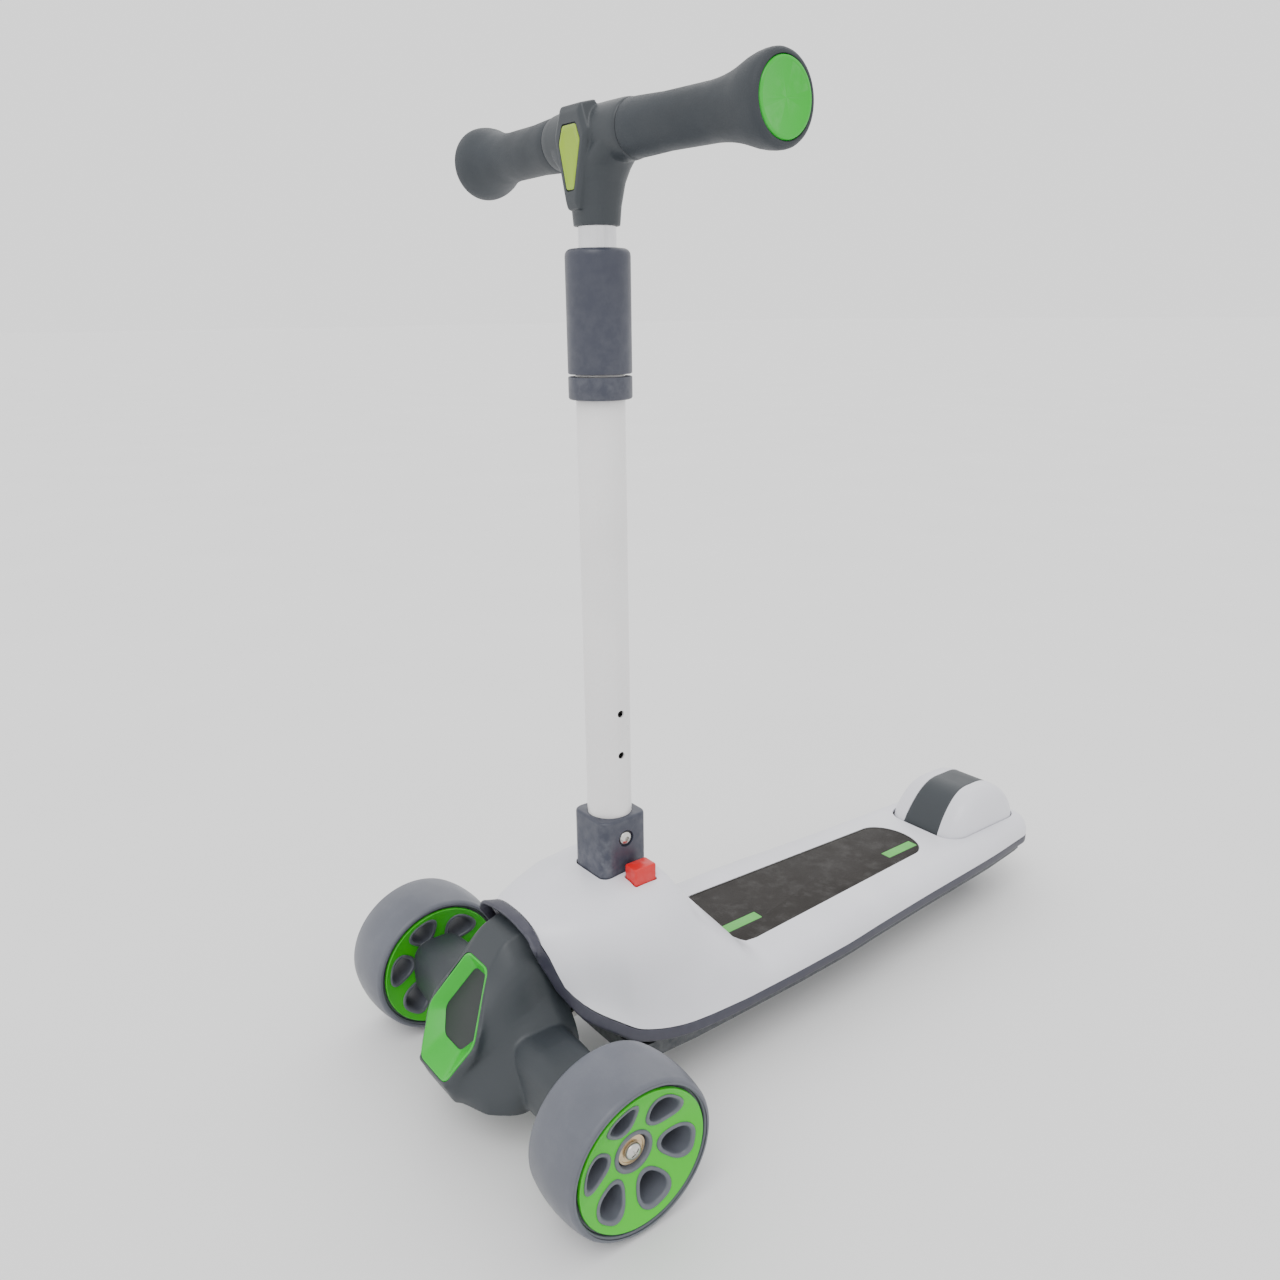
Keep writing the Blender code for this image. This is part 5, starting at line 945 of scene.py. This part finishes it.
def dome_ring(share, inset=0.0):
    z, front, back, half_x, corner = dome_level(share, inset)
    outline = rounded_rectangle(half_x, (back - front) / 2, corner, 9, (0.0, (front + back) / 2))
    return [(x, y, z) for x, y in outline]


def dome_point(share, x, inset, behind):
    z, front, back, half_x, corner = dome_level(share, inset)
    past = max(0.0, abs(x) - (half_x - corner))
    drop = corner - sqrt(corner ** 2 - min(past, corner) ** 2)
    return (x, back - drop if behind else front + drop, z)


def dome_band(spread, outer_inset, inner_inset, longer=0.0):
    front = [0.05 - longer] + [share for share in DOME_LEVELS if share > 0.05]
    back = [share for share in reversed(DOME_LEVELS) if share > 0.45] + [0.45 - longer]
    rings = []
    for share, behind in [(share, False) for share in front] + [(share, True) for share in back]:
        half = 0.019 * (1.1 - 0.2 * share) + spread
        across = [half * (-1 + 2 * k / 12) for k in range(13)]
        outer = [dome_point(share, x, outer_inset, behind) for x in across]
        inner = [dome_point(share, x, inner_inset, behind) for x in reversed(across)]
        rings.append(outer + inner)
    return skinned(rings)


def brake():
    """White dome with a dark band let in over its middle."""
    inside = [dome_ring(share, 0.0028) for share in reversed(DOME_LEVELS)]
    cover = made("brake_dome", skinned(inside + [dome_ring(share) for share in DOME_LEVELS]))
    cut(cover, dome_band(0.0004, -0.010, 0.0016, 0.005))
    dress(shaded(cover, 34), WHITE, "brake", "white_plastic", "brake_cover")
    band = made("brake_band", dome_band(0.0, 0.0002, 0.0014))
    dress(shaded(band, 40, 0.0003, 2), SLATE, "brake", "slate_plastic", "brake_strip")


# ---- stem
def button_middle():
    place = middle("release_button") - AXLE
    return place.x, place.y


def rounded_block(name, half_x, half_y, low, high, corner, place, top_round=0.0015):
    """Upright block with rounded corners whose top edge is rolled over."""
    rings = [(0.0, low)] + [(top_round * (1 - cos(radians(a))),
                             high - top_round * (1 - sin(radians(a)))) for a in range(0, 91, 15)]
    made_rings = []
    for inset, z in rings:
        outline = rounded_rectangle(half_x - inset, half_y - inset, max(corner - inset, 0.0003), 8, place)
        made_rings.append([(x, y, z) for x, y in outline])
    return made(name, skinned(made_rings))


def stem_foot():
    """Square block with recessed bolts; its foot stays the CAD's below the hood."""
    block = rounded_block("socket_collar", SOCKET_HALF, SOCKET_HALF, SOCKET_BASE, SOCKET_TOP, 0.008,
                          (0.0, STEM_Y), 0.0022)
    tongue = made("tool", prism(rounded_rectangle(0.016, 0.016, 0.002, 3, (0.0, STEM_Y)), 0.112,
                                SOCKET_BASE + 0.004))
    carve(block, tongue, "UNION")
    bore = turned(((0.0, 0.1777), (0.0173, 0.1777), (0.0173, 0.30), (0.0, 0.30)), 72, "Z", False)
    cut(block, bore, None, (0.0, STEM_Y, 0.0))
    for side in (1, -1):
        pocket = turned(((0.0, 0.0), (0.0064, 0.0), (0.0068, 0.0030), (0.0068, 0.02), (0.0, 0.02)), 48, "X",
                        False)
        if side < 0:
            pocket.transform(Matrix.Rotation(pi, 4, "Z"))
        cut(block, pocket, None, (side * 0.0188, STEM_Y, BOLT_HEIGHT))
    dress(shaded(block, 40), COLLAR, "stem", "collar_plastic", "socket_block")
    face = 0.0191
    r = 0.0055
    bolt = [(0.0029, -0.040), (0.0029, 0.0), (r - 0.0003, 0.0), (r, 0.0004)]
    bolt += [(r * cos(radians(a)), 0.0004 + 0.0026 * sin(radians(a))) for a in (15, 35, 55, 70)]
    bolt += [(0.0018, 0.0024), (0.0016, 0.0008), (0.0, 0.0008)]
    head = made("socket_bolt_head", turned(bolt, 48, "X", False), None, (face, STEM_Y, BOLT_HEIGHT))
    dress(shaded(head, 30), STEEL, "stem", "steel", "socket_bolt")


def stem_tube():
    tube_low, tube_high = heights("stem_tube")
    profile = [(TUBE_BORE, tube_low), (TUBE_RADIUS, tube_low), (TUBE_RADIUS, tube_high - 0.0006),
               (TUBE_RADIUS - 0.0004, tube_high), (TUBE_BORE, tube_high)]
    tube = made("outer_tube", turned(profile, 96), None, (0.0, STEM_Y, 0.0))
    for height in SPARE_HOLES:
        drill = turned(((0.0, 0.005), (0.0028, 0.005), (0.0028, 0.03), (0.0, 0.03)), 32, "X", False)
        cut(tube, drill, None, (0.0, STEM_Y, height))
    drill = turned(((0.0, -0.03), (0.0033, -0.03), (0.0033, 0.03), (0.0, 0.03)), 24, "X", False)
    cut(tube, drill, None, (0.0, STEM_Y, BOLT_HEIGHT))
    dress(shaded(tube, 30), WHITE_PAINT, "stem", "white_paint", "stem_tube")


def collar():
    """Clamp ring and twist sleeve, with rolled edges and a fine parting groove."""
    low, high = heights("twist_sleeve")
    r = COLLAR_RADIUS
    outside = [(r - 0.0008, low), (r - 0.0002, low + 0.0003), (r, low + 0.0010), (r, high - 0.0050)]
    outside += [(r - 0.0045 * (1 - cos(radians(a))),
                 high - 0.0045 * (1 - sin(radians(a)))) for a in (20, 40, 60, 75, 90)]
    lip = high - 0.0080
    inside = [(0.0134, high), (0.0132, high - 0.0006), (0.0132, lip), (0.0175, lip), (0.0175, low)]
    sleeve = made("sleeve_skin", turned(outside + inside, 96), None, (0.0, STEM_Y, 0.0))
    dress(shaded(sleeve, 30), COLLAR, "clamp_sleeve", "collar_plastic", "twist_sleeve")
    low, high = heights("clamp_ring")
    ring = [(0.0173, low), (r - 0.0016, low), (r - 0.0006, low + 0.0004), (r, low + 0.0014),
            (r, high - 0.0008), (r - 0.0003, high - 0.0002), (r - 0.0010, high), (0.0173, high)]
    band = made("clamp_band", turned(ring, 96), None, (0.0, STEM_Y, 0.0))
    dress(shaded(band, 30), COLLAR, "stem", "collar_plastic", "clamp_ring")


def release_button():
    x, y = button_middle()
    low, high = heights("release_button")
    cap = rounded_block("button_cap", 0.007, 0.010, low, high, 0.0018, (x, y), 0.0014)
    dress(shaded(cap, 40), RED, "release_button", "red_plastic", "release_button")


# ---- handlebar
def bar_matrix(side):
    return Matrix.Translation((0.0, STEM_Y, BAR_HEIGHT)) @ Matrix.Rotation(side * BAR_SWEEP, 4, "Z")


def grips():
    """Soft grips with flared ends, and green caps let into them."""
    r = GRIP_RADIUS
    flare = GRIP_FLARE
    start = GRIP_START
    end = BAR_HALF - 0.0006
    outside = [(r + 0.0012, start), (r + 0.0015, start + 0.0008), (r + 0.0012, start + 0.010),
               (r + 0.0003, start + 0.030)]
    bulge = ((0.052, 0.0004), (0.046, 0.0008), (0.040, 0.0015), (0.034, 0.0026), (0.028, 0.0041),
             (0.022, 0.0060), (0.017, 0.0076), (0.012, 0.0087), (0.008, 0.0092))
    outside += [(r + rise, end - back) for back, rise in bulge]
    outside += [(flare, end - 0.005), (flare - 0.0002, end - 0.003), (flare - 0.0010, end - 0.0013),
                (flare - 0.0022, end - 0.0003), (flare - 0.0030, end)]
    inside = [(0.0216, end), (0.0212, end - 0.0004), (0.0212, end - 0.0024), (BAR_ROD_ROOM, end - 0.0024),
              (BAR_ROD_ROOM, start)]
    for side, word in ((1, "left"), (-1, "right")):
        shape = turned([(radius, side * x) for radius, x in outside + inside], 96, "X")
        piece = made(word + "_grip_skin", shape, bar_matrix(side))
        dress(shaded(piece, 30), GRIP, "handlebar", "slate_plastic", word + "_grip")
        cap = [(0.0, BAR_HALF - 0.0022), (0.0207, BAR_HALF - 0.0022), (0.0209, BAR_HALF - 0.0012),
               (0.0204, BAR_HALF - 0.0003), (0.0196, BAR_HALF), (0.0186, BAR_HALF - 0.0001),
               (0.0180, BAR_HALF - 0.0004), (0.0, BAR_HALF - 0.0004)]
        shape = turned([(radius, side * x) for radius, x in cap], 96, "X", False)
        disc = made(word + "_cap_disc", shape, bar_matrix(side))
        dress(shaded(disc, 30), CAP_GREEN, "handlebar", "cap_green", word + "_end_cap")


def coffin(scale):
    half = [(0.0073, 0.0050), (0.0115, -0.0050), (0.0039, -0.0330)]
    half = [(a * scale, -0.014 + (b + 0.014) * scale) for a, b in half]
    return softened(half + [(-a, b) for a, b in reversed(half)], 0.0016)


def tee():
    """Moulded tee: sleeve round the bar, flaring neck and a raised shield in front."""
    shapes = []
    for side in (1, -1):
        stops = ((0.0, 0.0180), (0.020, 0.0183), (0.034, 0.0184), (0.0385, 0.0181), (0.0400, 0.0172))
        rings = []
        for stop, radius in stops:
            rings.append([(side * stop, radius * cos(2 * pi * k / 48),
                           radius * sin(2 * pi * k / 48)) for k in range(48)])
        shape = skinned(rings)
        shape.transform(Matrix.Rotation(side * BAR_SWEEP, 4, "Z"))
        shapes.append(shape)
    low = -0.0543
    neck = ((low, 0.0150, 0.0150), (low + 0.012, 0.0162, 0.0158), (low + 0.026, 0.0202, 0.0168),
            (low + 0.034, 0.0255, 0.0174), (low + 0.040, 0.0320, 0.0174), (low + 0.047, 0.0385, 0.0160),
            (low + 0.054, 0.0390, 0.0120))
    rings = []
    for z, half_x, half_y in neck:
        rings.append([(x, y, z) for x, y in rounded_rectangle(half_x, half_y, 0.92 * min(half_x, half_y),
                                                              8)])
    shapes.append(skinned(rings))
    shield = [[(a, -d, b) for a, b in coffin(s)] for d, s in ((0.008, 1.75), (0.0184, 1.62), (0.0200, 1.42),
                                                              (0.0204, 1.36))]
    shapes.append(skinned(shield))
    piece = made("tee_body", merged(*shapes), None, (0.0, STEM_Y, BAR_HEIGHT))
    modify(piece, "REMESH", mode="VOXEL", voxel_size=0.0007)
    modify(piece, "SMOOTH", factor=0.5, iterations=6)
    settled(piece)
    bore = turned(((0.0, -0.08), (0.0130, -0.08), (0.0130, -0.0122), (0.0, -0.0122)), 64, "Z", False)
    cut(piece, bore, None, (0.0, STEM_Y, BAR_HEIGHT))
    recess = [[(a, -d, b) for a, b in coffin(s)] for d, s in ((0.0190, 1.05), (0.0300, 1.09))]
    cut(piece, skinned(recess), None, (0.0, STEM_Y, BAR_HEIGHT))
    dress(shaded(piece, 34), SLATE, "handlebar", "slate_plastic", "handlebar_hub")
    inlay = [[(a, -d, b) for a, b in coffin(s)] for d, s in ((0.0185, 1.0), (0.0203, 1.0), (0.0207, 0.94),
                                                             (0.0207, 0.86), (0.0202, 0.80))]
    plate = made("tee_inlay", skinned(inlay), None, (0.0, STEM_Y, BAR_HEIGHT))
    dress(shaded(plate, 30), INLAY, "handlebar", "inlay_green", "badge_inlay")


# ---- stage, light and camera
def stage():
    shape = bmesh.new()
    bmesh.ops.create_grid(shape, x_segments=2, y_segments=2, size=FLOOR_HALF)
    mesh = bpy.data.meshes.new("floor")
    shape.to_mesh(mesh)
    shape.free()
    floor = linked("floor", mesh)
    look = Look("floor_paper")
    tone = look.mix(look.span(look.noise(3.0), 0.3, 0.7), (0.79, 0.79, 0.79), (0.81, 0.81, 0.81))
    rough = look.span(look.noise(40.0), 0.3, 0.7, 0.75, 0.85)
    mesh.materials.append(look.finished(tone, rough, Specular_IOR_Level=0.2))
    world = bpy.data.worlds.new("studio")
    bpy.context.scene.world = world
    world.use_nodes = True
    world.node_tree.nodes["Background"].inputs["Color"].default_value = (1.0, 1.0, 1.0, 1.0)
    world.node_tree.nodes["Background"].inputs["Strength"].default_value = SKY_STRENGTH


def sun(name, direction, spread, strength):
    """Wide soft light that comes from a direction."""
    data = bpy.data.lights.new(name, "SUN")
    data.energy = strength
    data.angle = radians(spread)
    light = bpy.data.objects.new(name, data)
    bpy.context.scene.collection.objects.link(light)
    light.rotation_euler = direction.to_track_quat("Z", "Y").to_euler()


def camera():
    data = bpy.data.cameras.new("camera")
    data.sensor_width = 36.0
    data.lens = CAMERA_LENS
    eye = bpy.data.objects.new("camera", data)
    bpy.context.scene.collection.objects.link(eye)
    level = cos(CAMERA_PITCH)
    forward = Vector((-sin(CAMERA_YAW) * level, cos(CAMERA_YAW) * level, -sin(CAMERA_PITCH)))
    turn = forward.to_track_quat("-Z", "Y").to_matrix() @ Matrix.Rotation(CAMERA_ROLL, 3, "Z")
    eye.matrix_world = Matrix.Translation(Vector(CAMERA_PLACE) + AXLE) @ turn.to_4x4()
    bpy.context.scene.camera = eye


def build():
    dress_frame()
    deck_shell()
    edge_strip()
    deck_mat()
    nose_cowl()
    badge()
    front_wheels()
    rear_wheel()
    brake()
    stem_foot()
    stem_tube()
    collar()
    release_button()
    grips()
    tee()
    stage()
    sun("key", Vector((0.9, -1.3, 2.4)), 38.0, 1.15)
    sun("back", Vector((-1.0, 1.2, 1.5)), 50.0, 0.45)
    camera()


build()
